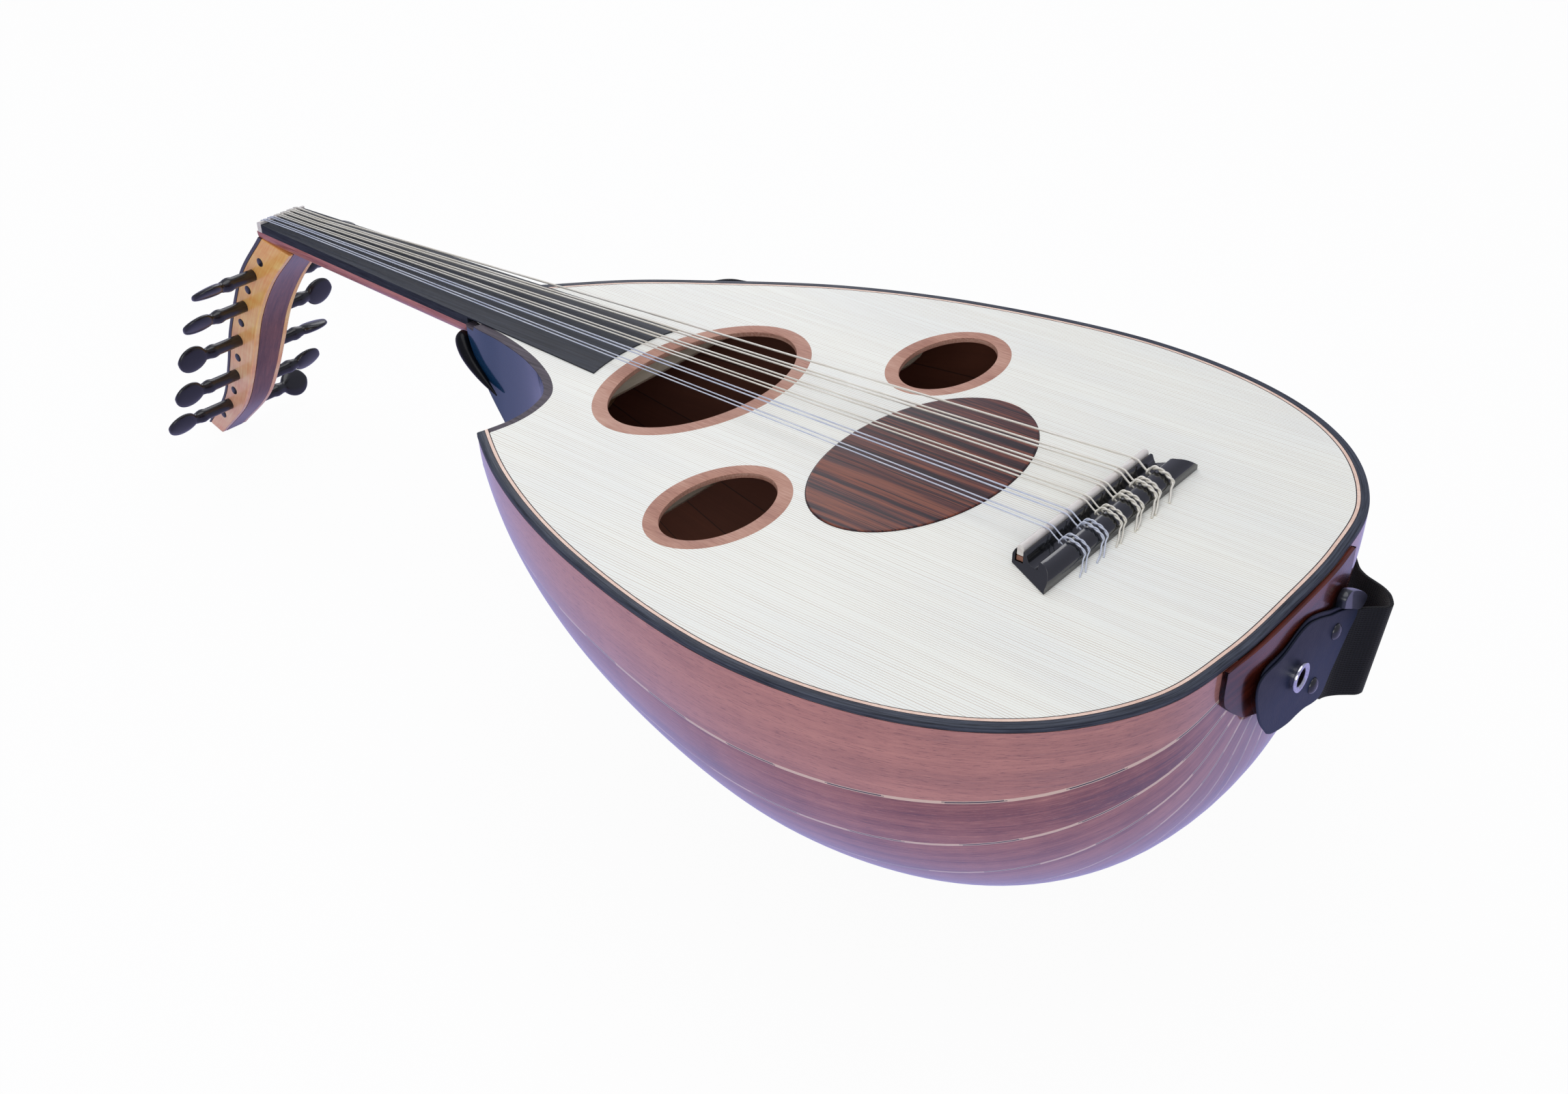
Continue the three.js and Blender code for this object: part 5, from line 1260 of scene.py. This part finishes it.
# %% Make the pegs
PEG_COUNT, FIRST_PEG, PEG_STEP, PEG_DEPTH, PEG_RADIUS = 11, 0.113, 0.0782, 0.42, 4.0
HEAD_MIDDLE, HEAD_RADIUS, HEAD_HALF_WIDTH, HEAD_THINNING = 50.6, 10.6, 9.9, 1.7
PEG_TURNS = [20, 34, 140, 48, 100, 78, 165, 72, 120, 62, 60]
PEG_SIDES = 28
SWELLING = [(31.2, 4.0, 4.0), (33.0, 4.5, 4.5), (34.6, 4.7, 4.7), (36.6, 4.5, 4.4), (38.4, 4.1, 3.8),
            (39.6, 4.0, 3.6)]
peg_paint = gloss_black("peg_black", (11, 11, 14), 0.3, Coat_Weight=0.3)


def peg_rings(half):
    """Ellipses along y: width and thickness at each station, from the tip through the cheeks to the head. The
    head is a circle seen from the side, and its thickness a low power of the same circle."""
    shaft = [(-half - 0.6, 2.2, 2.2), (-half - 0.3, 2.9, 2.9), (-half + 1, 3.1, 3.1),
             (half + 0.3, 3.95, 3.95)]
    head = [(HEAD_MIDDLE - HEAD_RADIUS * math.cos(a), max(HEAD_HALF_WIDTH * math.sin(a), 0.6),
             max((PEG_RADIUS - HEAD_THINNING * (1 - math.cos(a)) / 2) * math.sin(a) ** 0.3, 0.3))
            for a in np.linspace(0.44, 3.13, 18)]
    rows = np.array(shaft + SWELLING + head)
    turn = np.linspace(0, 2 * np.pi, PEG_SIDES, endpoint=False)
    return np.stack([rows[:, 1:2] * np.cos(turn), np.repeat(rows[:, :1], PEG_SIDES, 1),
                     rows[:, 2:3] * np.sin(turn)], -1)


peg_shares = FIRST_PEG + PEG_STEP * np.arange(PEG_COUNT)
peg_axes = in_pegbox(peg_shares, PEG_DEPTH)
for number in range(PEG_COUNT):
    side = 1 if number % 2 == 0 else -1
    rings = peg_rings(float(pegbox_half(peg_shares[number])))
    a = math.radians(PEG_TURNS[number])
    turned = np.stack([rings[..., 0] * math.cos(a) + rings[..., 2] * math.sin(a), rings[..., 1],
                       -rings[..., 0] * math.sin(a) + rings[..., 2] * math.cos(a)], -1)
    turned = turned * [side, side, 1] + [peg_axes[number, 0], 0, peg_axes[number, 1]]
    label = f"peg_{number + 1:02d}"
    piece(label + "_turned", [skin(turned)], peg_paint, body=label + "_body", replaces=[label],
          sharp=50)
print(PEG_COUNT, "pegs made")

# %% [markdown]
# ## Strings
# The two pairs next to the cutaway are clear nylon; the others are silk or nylon wound with fine silver wire.
# Each one is a round section carried along its route: tied round the tie block, over the saddle and the nut,
# and down to its peg, round which it is wound. The winding wire is far too fine to model, so it is a bump
# across the string.

# %% String materials
NYLON_STRINGS, WINDING_WAVE = 4, 26.0
nylon = Paint("clear_nylon", Roughness=0.18, Coat_Weight=0.5, Coat_Roughness=0.1, IOR=1.5,
              Transmission_Weight=0.25)
cloud = nylon.figure(nylon.lay(), (0.05, 0.5, 1), 2.0)
nylon.feed("Base Color", nylon.ramp(cloud, [(0.35, rgb(210, 218, 240)), (0.65, rgb(236, 241, 252))]))
nylon.feed("Roughness", 0.15 + cloud * 0.1)
wound = Paint("silver_winding", Roughness=0.34, Metallic=0.35)
lay = wound.lay()
winding = wound.single("SINE", wound.part(lay, 0) * WINDING_WAVE)
tarnish = wound.figure(lay, (0.02, 0.3, 1))
wound.feed("Base Color", wound.ramp(tarnish, [(0.35, rgb(228, 223, 208)), (0.65, rgb(248, 245, 236))]))
wound.feed("Roughness", 0.3 + tarnish * 0.15)
wound.bump(winding, 0.03, 0.5)
print("nylon for", NYLON_STRINGS, "strings and winding for the rest")

# %% Where each string runs
COURSES, COURSE_STEP, PAIR_STEP, FIRST_COURSE = 6, 15.6, 3.5, -28
NUT_STEP, NUT_PAIR_STEP, SPREAD, NUT_HEIGHT, NUT_BACK_DROP = 5.05, 1.9, 0.75, 2.4, 1.2
DIAMETERS = [0.7, 0.7, 0.8, 0.8, 0.9, 0.9, 1.0, 1.0, 1.1, 1.1, 1.2]
REST_ABOVE, PAST_SADDLE, OVER_PEG, WINDINGS, WINDING_STEPS = 0.02, 60, 0.9, 3.2, 22


def string_places(number):
    """Side place of a string at the saddle and at the nut, and the peg that it goes to."""
    course, single = number // 2, number // 2 == COURSES - 1
    side = -0.5 if single or number % 2 == 0 else 0.5
    from_bass = len(DIAMETERS) - 1 - number
    peg_number = 2 * number + 1 if number <= from_bass - 1 else 2 * from_bass
    return (FIRST_COURSE + course * COURSE_STEP + side * PAIR_STEP,
            (course - (COURSES - 1) / 2) * NUT_STEP + side * NUT_PAIR_STEP, peg_number)


def speaking_run(at_saddle, at_nut, r):
    """Corners of the string's route from its hole in the tie block over the saddle to the back of the nut."""
    over, nut_top = SADDLE_TOP + r + REST_ABOVE, NUT_HEIGHT + r + REST_ABOVE
    part = PAST_SADDLE / -NUT_X
    return [(12.4, at_saddle, STRING_HOLE_HEIGHT - 0.3), (10.6, at_saddle, STRING_HOLE_HEIGHT + 0.6),
            (7.0, at_saddle, 7.0), (3.2, at_saddle, over - 0.5), (1.6, at_saddle, over - 0.12),
            (0.2, at_saddle, over), (-1.4, at_saddle, over - 0.03),
            (-PAST_SADDLE, at_saddle + (at_nut - at_saddle) * part, over + (nut_top - over) * part),
            (NUT_X / 2, (at_saddle + at_nut) / 2, (over + nut_top) / 2), (NUT_X + 30, at_nut, nut_top + 0.3),
            (NUT_X, at_nut, nut_top), (NUT_X - NUT_THICKNESS, at_nut, nut_top - NUT_BACK_DROP)]


def to_peg(at_saddle, at_nut, peg_number, r):
    """The whole straight run, past the other pegs to its own, and the coil there: a turn about the peg's
    axis, whose turns lie side by side toward the middle of the pegbox."""
    lane = at_nut * SPREAD
    axis = peg_axes[:peg_number + 1]
    toward = in_pegbox(peg_shares[:peg_number + 1], 0.0) - axis
    toward /= np.linalg.norm(toward, axis=1)[:, None]
    past = axis[:-1] + toward[:-1] * (PEG_RADIUS + OVER_PEG + r)
    past = np.vstack([past, axis[-1] + toward[-1] * (PEG_RADIUS + r)])
    path = np.vstack([speaking_run(at_saddle, at_nut, r), np.insert(past, 1, lane, axis=1)])
    steps = np.linspace(0, 1, 9)[1:, None]
    run = np.vstack([path[:1]] + [a + (b - a) * steps for a, b in zip(path[:-1], path[1:])])
    t = np.linspace(0, WINDINGS * 2 * np.pi, int(WINDINGS * WINDING_STEPS))[1:]
    angle = math.atan2(toward[-1][1], toward[-1][0]) + t
    coil_radius = PEG_RADIUS + 0.05 + r
    coil = np.column_stack([axis[-1][0] + coil_radius * np.cos(angle),
                            lane - np.sign(lane) * 2 * r * 1.05 * t / (2 * np.pi),
                            axis[-1][1] + coil_radius * np.sin(angle)])
    return [rod(run, r), rod(coil, r)]


print(COURSES, "courses,", COURSE_STEP, "mm apart at the bridge")

# %% How a string is tied to the bridge
HOOK_X, TIE_STEPS, TIE_TWISTS, TIE_APART, TAIL_LEAVES = 9.6, 90, 2.6, 1.06, 14
tie_luck = np.random.default_rng(11)


def tie(at_saddle, r):
    """The string's end: it leaves the back of the block, lies over it as two strands that twist about each
    other, and closes in a small hook in front. The cut end of one strand sticks out at the back. Each
    strand is the middle line plus a circle's cosine and sine, and the other one is half a turn further."""
    back_x = BRIDGE_BACK + r + 0.15
    middle = smooth_curve([(BRIDGE_BACK - 1, at_saddle, STRING_HOLE_HEIGHT - 0.6),
                           (back_x + 0.4, at_saddle - 0.3, STRING_HOLE_HEIGHT - 0.2),
                           (back_x - 0.2, at_saddle - 0.6, 6.0),
                           (18.6, at_saddle - 0.5, TIE_HEIGHT + 0.3 + r),
                           (15.5, at_saddle, TIE_HEIGHT + 0.7 + r),
                           (12.6, at_saddle + 0.5, TIE_HEIGHT + 1.0 + r),
                           (HOOK_X + 0.3, at_saddle + 0.9, TIE_HEIGHT + 0.2),
                           (HOOK_X - 1.2, at_saddle, TIE_HEIGHT - 1.6)], TIE_STEPS)
    twist = np.linspace(0, TIE_TWISTS * 2 * np.pi, TIE_STEPS) + tie_luck.uniform(0, 1.0)
    circle = np.column_stack([np.zeros(TIE_STEPS), np.cos(twist), np.sin(twist)]) * r * TIE_APART
    first, second = middle + circle, middle - circle
    cut_end = smooth_curve([(back_x + 4.6, at_saddle - 10 - 3 * tie_luck.uniform(), r),
                            (back_x + 2.6, at_saddle - 6.5, 1.0 + r), (back_x + 0.9, at_saddle - 3.0, 3.2),
                            tuple(second[TAIL_LEAVES])], 24)
    second = np.vstack([cut_end[:-1], second[TAIL_LEAVES:]])
    turn = np.linspace(0.2 * np.pi, 1.9 * np.pi, 20)
    hook = np.column_stack([np.full(20, HOOK_X - 1.0), at_saddle + 1.7 * r * np.sin(turn),
                            TIE_HEIGHT - 1.9 + 1.9 * r * np.cos(turn)])
    return [rod(strand, r, 8) for strand in (first, second, hook)]


print("each tie twists", TIE_TWISTS, "times")

# %% Make the strings
for number, diameter in enumerate(DIAMETERS):
    at_saddle, at_nut, peg_number = string_places(number)
    skins = to_peg(at_saddle, at_nut, peg_number, diameter / 2) + tie(at_saddle, diameter / 2)
    paint, slot = (nylon, "nylon_string") if number < NYLON_STRINGS else (wound, "wound_string")
    label = f"string_{number + 1:02d}"
    piece(label + "_run", skins, paint, replaces=[label], sharp=70)
print(len(DIAMETERS), "strings made")

# %% [markdown]
# ## End clasp
# At the tail the points of the ribs meet, and a shaped cap of dark wood covers them: it is a patch of the
# bowl, grown outward by its thickness. Its lower edge is a wavy line, so the grid runs from the rim down to
# that line.

# %% Clasp
CLASP_THICKNESS, CLASP_ROWS = 2.4, 41
CLASP_EDGE = [(0, -53), (14, -49.8), (26.2, -43.5), (40.3, -37.1), (45.8, -32.9), (54.3, -25.4),
              (59.2, -20.1), (61, -13.3), (59.8, -2.9)]


def tail_x(y, z, offset):
    """Place along the body of the bowl's face, moved out by an offset, from the distance to its long axis."""
    x, radius = meridian(np.linspace(0.6, 1, 6001), offset)
    away = np.sqrt(y ** 2 + (z / DEPTH_RATIO) ** 2)
    return np.interp(away, radius[::-1], x[::-1])


wave = smooth_curve([(-y, z) for y, z in CLASP_EDGE[:0:-1]] + CLASP_EDGE, 161)
clasp_y = np.repeat(wave[None, :, 0], CLASP_ROWS, 0)
clasp_z = -RIM_DROP + (wave[None, :, 1] + RIM_DROP) * np.linspace(0, 1, CLASP_ROWS)[:, None]
outer, inner = (np.stack([tail_x(clasp_y, clasp_z, offset), clasp_y, clasp_z], -1)
                for offset in (CLASP_THICKNESS, 0.1))
clasp_paint = Paint("clasp_rosewood", Roughness=0.24, Coat_Weight=0.3, Coat_Roughness=0.05,
                    Specular_IOR_Level=0.3)
here = clasp_paint.place()
grain = clasp_paint.figure(here, (0.3, 0.03, 0.5), 5.0, 0.65)
slow = clasp_paint.figure(here, (0.05, 0.01, 0.08))
clasp_paint.feed("Base Color", clasp_paint.ramp(grain * 0.5 + slow * 0.5, [
    (0.36, rgb(34, 11, 8)), (0.5, rgb(64, 23, 14)), (0.64, rgb(104, 42, 24))]))
clasp_paint.bump(slow * 2 + grain * 0.2, 0.2, 0.25)
piece("clasp_polished", [skin(np.concatenate([outer, inner[:, ::-1]], 1))], clasp_paint,
      replaces=["end_clasp"], sharp=50)
print("the clasp is", CLASP_THICKNESS, "mm thick")

# %% [markdown]
# ## Jack
# The end pin is also the socket for the cable: a steel tube through the tail block, with a polished ring
# round its bore. It is a profile of radius and distance, turned about the long axis of the body. Inside the
# bore the steel is painted dark, as painted shade in the deep hole, by the distance to that axis.

# %% Polished steel
JACK_DROP, JACK_RADIUS = 36.5, 5
chrome = Paint("polished_steel", Roughness=0.12, Metallic=1.0)
here = chrome.place()
wear = chrome.noise(here, 4.0, scale=1.2)
steel = chrome.ramp(wear, [(0.35, rgb(206, 206, 216)), (0.65, rgb(236, 236, 244))])
off_axis_for_bore_shade = chrome.vector(0.0, chrome.part(here, 1), chrome.part(here, 2) + JACK_DROP)
off_axis_for_bore_shade = chrome.node("VectorMath", {"operation": "LENGTH"}, {0: off_axis_for_bore_shade}, "Value")
# Painted shade: near the jack's axis, inside the bore, the steel is painted near black.
chrome.feed("Base Color", chrome.mix(chrome.between(off_axis_for_bore_shade, 4.5, 4.9), rgb(24, 20, 22), steel))
chrome.feed("Roughness", 0.08 + wear * 0.12)
print("steel mixed, dark in the bore")

# %% Jack


def lathe(profile, place, way, sides=48):
    """A profile of (radius, distance) turned about an axis through a place."""
    way = np.asarray(way, float) / np.linalg.norm(way)
    first = np.cross(way, (0, 0, 1))
    first /= np.linalg.norm(first)
    second = np.cross(way, first)
    turn = np.linspace(0, 2 * np.pi, sides, endpoint=False)
    profile = np.asarray(profile, float)
    ring = first * np.cos(turn)[:, None] + second * np.sin(turn)[:, None]
    return skin(np.asarray(place) + way * profile[:, None, 1:2] + ring[None] * profile[:, None, :1])


RING_RADIUS, MOUTH_RADIUS, MOUTH_DEPTH, BORE_RADIUS, POLE = 7.2, 5.4, 1.8, 3.3, 0.05
TAB_OFF_CLASP, TAB_THICKNESS, RING_PROUD, TUBE_END, BORE_END = 0.6, 2.2, 3.2, -30, -28
RING_FACE = CLASP_THICKNESS + TAB_OFF_CLASP + TAB_THICKNESS + RING_PROUD
jack = [(POLE, TUBE_END), (JACK_RADIUS, TUBE_END), (JACK_RADIUS, RING_FACE - 1.6),
        (RING_RADIUS - 0.3, RING_FACE - 1.6), (RING_RADIUS, RING_FACE - 1.3), (RING_RADIUS, RING_FACE - 0.5),
        (RING_RADIUS - 0.15, RING_FACE - 0.15), (RING_RADIUS - 0.5, RING_FACE),
        (MOUTH_RADIUS + 0.3, RING_FACE), (MOUTH_RADIUS, RING_FACE - 0.15), (4.3, RING_FACE - 1.4),
        (3.6, RING_FACE - MOUTH_DEPTH), (BORE_RADIUS, RING_FACE - MOUTH_DEPTH - 0.4), (BORE_RADIUS, BORE_END),
        (POLE, BORE_END)]
piece("jack_chrome", [lathe(jack, (TAIL_X, 0, -JACK_DROP), (1, 0, 0))], chrome,
      replaces=["end_pin_jack"], sharp=30)
print("the jack's ring is", 2 * RING_RADIUS, "mm across")

# %% [markdown]
# ## Strap
# The strap ends in a double piece of smooth black leather that is pushed onto the jack, with two domed
# rivets and a small block sewn behind it. The webbing leaves it in a loop and follows the far side of the
# bowl to its button. The leather is a patch with a drawn outline and soft edges, and a fine pebbled grain;
# toward its upper edge it is painted darker, as painted shade.

# %% Leather
leather = Paint("smooth_leather", Roughness=0.42, Specular_IOR_Level=0.25)
here = leather.place()
pebbles = leather.node("TexVoronoi", {"feature": "SMOOTH_F1"},
                       {"Vector": here, "Scale": 1.4, "Smoothness": 0.6}, "Distance")
scuff = leather.noise(here, 4.0, scale=0.12)
hide = leather.mix(scuff, rgb(23, 33, 56), rgb(42, 57, 90))
# Painted shade: the leather is painted darker toward its upper edge, by height.
shade = leather.between(leather.part(here, 2), -50.0, -16.0, 0, 0.8)
leather.feed("Base Color", leather.mix(shade, hide, rgb(12, 17, 28)))
leather.feed("Roughness", 0.36 + scuff * 0.18)
leather.bump(pebbles, 0.12, 0.5)
print("leather mixed")

# %% Leather end
TAB_FACE, FRONT_LAYER = TAIL_X + CLASP_THICKNESS + TAB_OFF_CLASP, 1.1
TAB_EDGE = [(-21.8, -55.5), (-32.1, -43.1), (-37.1, -33.3), (-40.4, -23.5), (-39.8, -18.2), (-36, -16.2),
            (-30.8, -15.9), (-22, -16.3), (-14.7, -15.6), (-7.9, -13.8), (-1, -12.4), (6.6, -12.7),
            (18.9, -16.6), (31.8, -21.9), (42.8, -25.5), (52.6, -29.8), (64.4, -36.6), (63.4, -40),
            (58.7, -44), (53.4, -49.4), (48.6, -54.7), (44, -59.5), (40.8, -64), (37.6, -67.8),
            (34.1, -69.3), (27.2, -68.3), (18.1, -65.6), (9.9, -64.4), (2.1, -63.9), (-9.5, -61.2),
            (-17.6, -58.2), (-21.8, -55.5)]
tab_outline = smooth_curve(TAB_EDGE, 241)[:-1]


def patch(outline, x, thickness, inset=0.9, rings=8):
    """A flat piece across the body with a drawn outline: rings that shrink toward its middle, on the back and
    the front face, joined by a rounded edge."""
    middle = outline.mean(0)
    size = 1 - inset / np.linalg.norm(outline - middle, axis=1).mean()
    flat = np.linspace(0.02, size, rings)
    turn = np.linspace(-np.pi / 2, np.pi / 2, 7)
    sizes = np.concatenate([flat, size + (1 - size) * np.cos(turn), flat[::-1]])
    places = np.concatenate([np.full(rings, x), x + thickness / 2 + thickness / 2 * np.sin(turn),
                             np.full(rings, x + thickness)])
    return skin(np.stack([np.column_stack([np.full(len(outline), place), middle + (outline - middle) * share])
                          for place, share in zip(places, sizes)]))


front_layer = patch(tab_outline, TAB_FACE + FRONT_LAYER, TAB_THICKNESS - FRONT_LAYER)
back_layer = patch(tab_outline * [0.96, 0.97] + [3.0, 0.8], TAB_FACE, FRONT_LAYER)
piece("strap_leather_layers", [front_layer, back_layer], leather, replaces=["strap_leather_end"],
      sharp=60)
print("the leather is", TAB_THICKNESS, "mm thick in two layers")

# %% Rivets and the block behind the leather
RIVET_PLACES, RIVET_FLATTENING = ((39.4, -34.9), (22.4, -55.2)), 0.75
DOME = [(POLE, 3.1), (1.2, 3.0), (2.4, 2.6), (3.3, 1.9), (3.9, 0.9), (4.1, 0.3), (4.1, 0.0), (POLE, 0.0)]
KEEPER_EDGE = [(40, -22.5), (40.4, -17.5), (44.5, -15.6), (50, -17.6), (58.5, -22.2), (66.6, -28.4),
               (68.3, -30.6), (66.8, -33.2), (61.8, -34), (51, -28.4), (40, -22.5)]

rivet_paint = gloss_black("rivet_black", (18, 19, 24), 0.25)
rivet_profile = [(radius, height * RIVET_FLATTENING) for radius, height in DOME]
rivets = [lathe(rivet_profile, (TAB_FACE + TAB_THICKNESS - 0.05, y, z), (1, 0, 0), 32)
          for y, z in RIVET_PLACES]
piece("strap_rivets", rivets, rivet_paint, sharp=60)
keeper_paint = gloss_black("keeper_black", (24, 30, 42), 0.4)
keeper = patch(smooth_curve(KEEPER_EDGE, 81)[:-1], TAB_FACE - 0.4, 4.4, inset=0.5)
piece("strap_keeper", [keeper], keeper_paint, sharp=30)
print(len(rivets), "rivets made")

# %% [markdown]
# ## Webbing
# The webbing is woven flat from thick black yarn. It is a flat strap on a route: from behind the leather
# round a small loop, and then along the bowl, which it follows at a hair's breadth. Its weave is a bump of
# small diamonds made from two sine waves along and across the strap's own map, and the same waves paint the
# hollows of the weave darker, as painted shade.

# %% Woven webbing
WARP_STEP, WEFT_STEP = 1.2, 1.6
webbing_paint = Paint("woven_webbing", Roughness=0.85, Sheen_Weight=0.15, Sheen_Roughness=0.5,
                      Specular_IOR_Level=0.25)
lay = webbing_paint.lay()
along, across = webbing_paint.part(lay, 0), webbing_paint.part(lay, 1)
warp = webbing_paint.single("SINE", across * (2 * math.pi / WARP_STEP))
weft = webbing_paint.single("SINE", along * (2 * math.pi / WEFT_STEP) + warp * 1.2)
weave = warp * 0.5 + weft * 0.5
lint = webbing_paint.noise(lay, 4.0, 0.7, scale=0.8)
# Painted shade: the low parts of the weave are painted darker than its high parts.
webbing_paint.feed("Base Color", webbing_paint.mix(
    webbing_paint.between(weave, -0.6, 0.8), rgb(5, 6, 9), rgb(21, 24, 31)))
webbing_paint.feed("Roughness", 0.75 + lint * 0.2)
webbing_paint.bump(weave + lint * 0.3, 0.16, 0.6)
print("the weave is", WARP_STEP, "by", WEFT_STEP, "mm")

# %% Route of the strap
# FOLD is the loop's place in plan, measured back from the photograph; the rest follows the bowl.
STRAP_WIDTH, STRAP_END_WIDTH, STRAP_THICKNESS, STRAP_DROP, BUTTON_DROP = 48, 24, 1.8, 53, 20
OFF_BOWL, RUN_START_RADIUS, PAST_BUTTON = 2.2 + STRAP_THICKNESS / 2, 107, 9
FOLD = [(109.9, 46), (110.2, 54), (111.6, 61.4), (115.4, 66.7), (119.6, 70.5), (123.2, 73.6), (124.2, 76.6),
        (121.6, 82), (117.4, 87.1), (113.4, 90.7), (108.4, 94.1), (103.2, 97.6)]
CLIMB, TAPER = (0.6, 0.97), (0.88, 0.96)
WIDEST_X = JOINT_X + BODY_LENGTH * 0.66
BUTTON_SHARE = share_where(lambda x, radius: x >= JOINT_X + NECK_BLOCK_SHOW + PAST_BUTTON)
RUN_START = share_where(lambda x, radius: (radius <= RUN_START_RADIUS) & (x > WIDEST_X))


def far_face(share, depth, offset):
    """Place on the far side of the bowl at a depth under the soundboard, in plan."""
    x, radius = meridian(share, offset)
    drop = np.minimum(depth / (DEPTH_RATIO * radius), 0.98)
    return x, radius * np.sqrt(1 - drop ** 2)


def eased(value, low, high):
    """0 up to low, 1 from high on, and a smooth turn between them."""
    s = np.clip((value - low) / (high - low), 0, 1)
    return s * s * (3 - 2 * s)


button_x, button_y = (float(k) for k in far_face(BUTTON_SHARE, BUTTON_DROP, 0))
run_x = meridian(RUN_START)[0]


def strap_edges(x):
    """Lower and upper edge of the strap: it climbs and narrows toward its button."""
    progress = (run_x - x) / (run_x - button_x)
    drop = STRAP_DROP + (BUTTON_DROP - STRAP_DROP) * eased(progress, *CLIMB)
    half = (STRAP_WIDTH + (STRAP_END_WIDTH - STRAP_WIDTH) * eased(progress, *TAPER)) / 2
    return -drop - half, -drop + half


RUN_END = share_where(lambda x, radius: x >= button_x - PAST_BUTTON)
route = list(FOLD)
for share in np.linspace(RUN_START, RUN_END, 17):
    depth = max(-float(strap_edges(meridian(share)[0])[1]), 0)
    route.append(tuple(float(k) for k in far_face(share, depth, OFF_BOWL)))
route = smooth_curve(route, 321)
run_length = np.concatenate([[0], np.cumsum(np.linalg.norm(np.diff(route, axis=0), axis=1))])
print("the route has", len(route), "places")

# %% Webbing
FOLD_SAG, FAR_SAG, FOLD_LEAN, LOW_CORNER = 7, 5, 6, 5
SAG_END, SAG_FADE, FAR_START, FAR_RISE = 200, 90, 45, 30
CORNER_END, CORNER_FADE, CORNER_HEIGHT, CORNER_SLOPE, LEAN_END, LEAN_FADE = 75, 20, -60, 2.5, 110, 50


def ramped(value):
    """A straight ramp, held between 0 and 1."""
    return np.clip(value, 0, 1)


sag_left = ramped((SAG_END - run_length) / SAG_FADE)
sag = FOLD_SAG * sag_left + FAR_SAG * ramped((run_length - FAR_START) / FAR_RISE) * sag_left
low, high = (line - sag for line in strap_edges(route[:, 0]))
low = low - LOW_CORNER * ramped((CORNER_END - run_length) / CORNER_FADE)
low = np.maximum(low, CORNER_HEIGHT - CORNER_SLOPE * run_length)
width_share = np.linspace(0, 1, 25)
height = low[:, None] + (high - low)[:, None] * width_share[None, :]
lean = FOLD_LEAN * ramped((LEAN_END - run_length) / LEAN_FADE)[:, None] * (1 - width_share[None, :])
way = ways(route)
aside = np.stack([way[:, 1], -way[:, 0]], -1)
strap_faces = []
for sign in (1, -1):
    plan = route[:, None, :] + aside[:, None, :] * sign * STRAP_THICKNESS / 2 - lean[..., None] * [1, 0]
    strap_faces.append(np.concatenate([plan, height[..., None]], -1))
strap = piece("strap_webbing_woven", [skin(np.concatenate([strap_faces[0], strap_faces[1][:, ::-1]], 1))],
              webbing_paint, replaces=["strap_webbing"], bevel=0.5)
mean_width = float((high - low).mean()) / MM_PER_M

# %% Button of the strap
BUTTON = [(POLE, -12), (2.5, -12), (2.5, 8), (6.4, 8), (7, 8.6), (7, 9.6), (6.2, 10.6), (4, 11), (POLE, 11)]
way_x, way_y = (np.interp(BUTTON_SHARE / 2, OUTLINE_SHARE, column) for column in OUTLINE_WAY.T)
button = lathe(BUTTON, (button_x, button_y, -BUTTON_DROP), (way_y, way_x, 0))
piece("strap_button_steel", [button], chrome, replaces=["strap_button"], sharp=40)
print("the button stands at", round(button_x, 1), "mm")
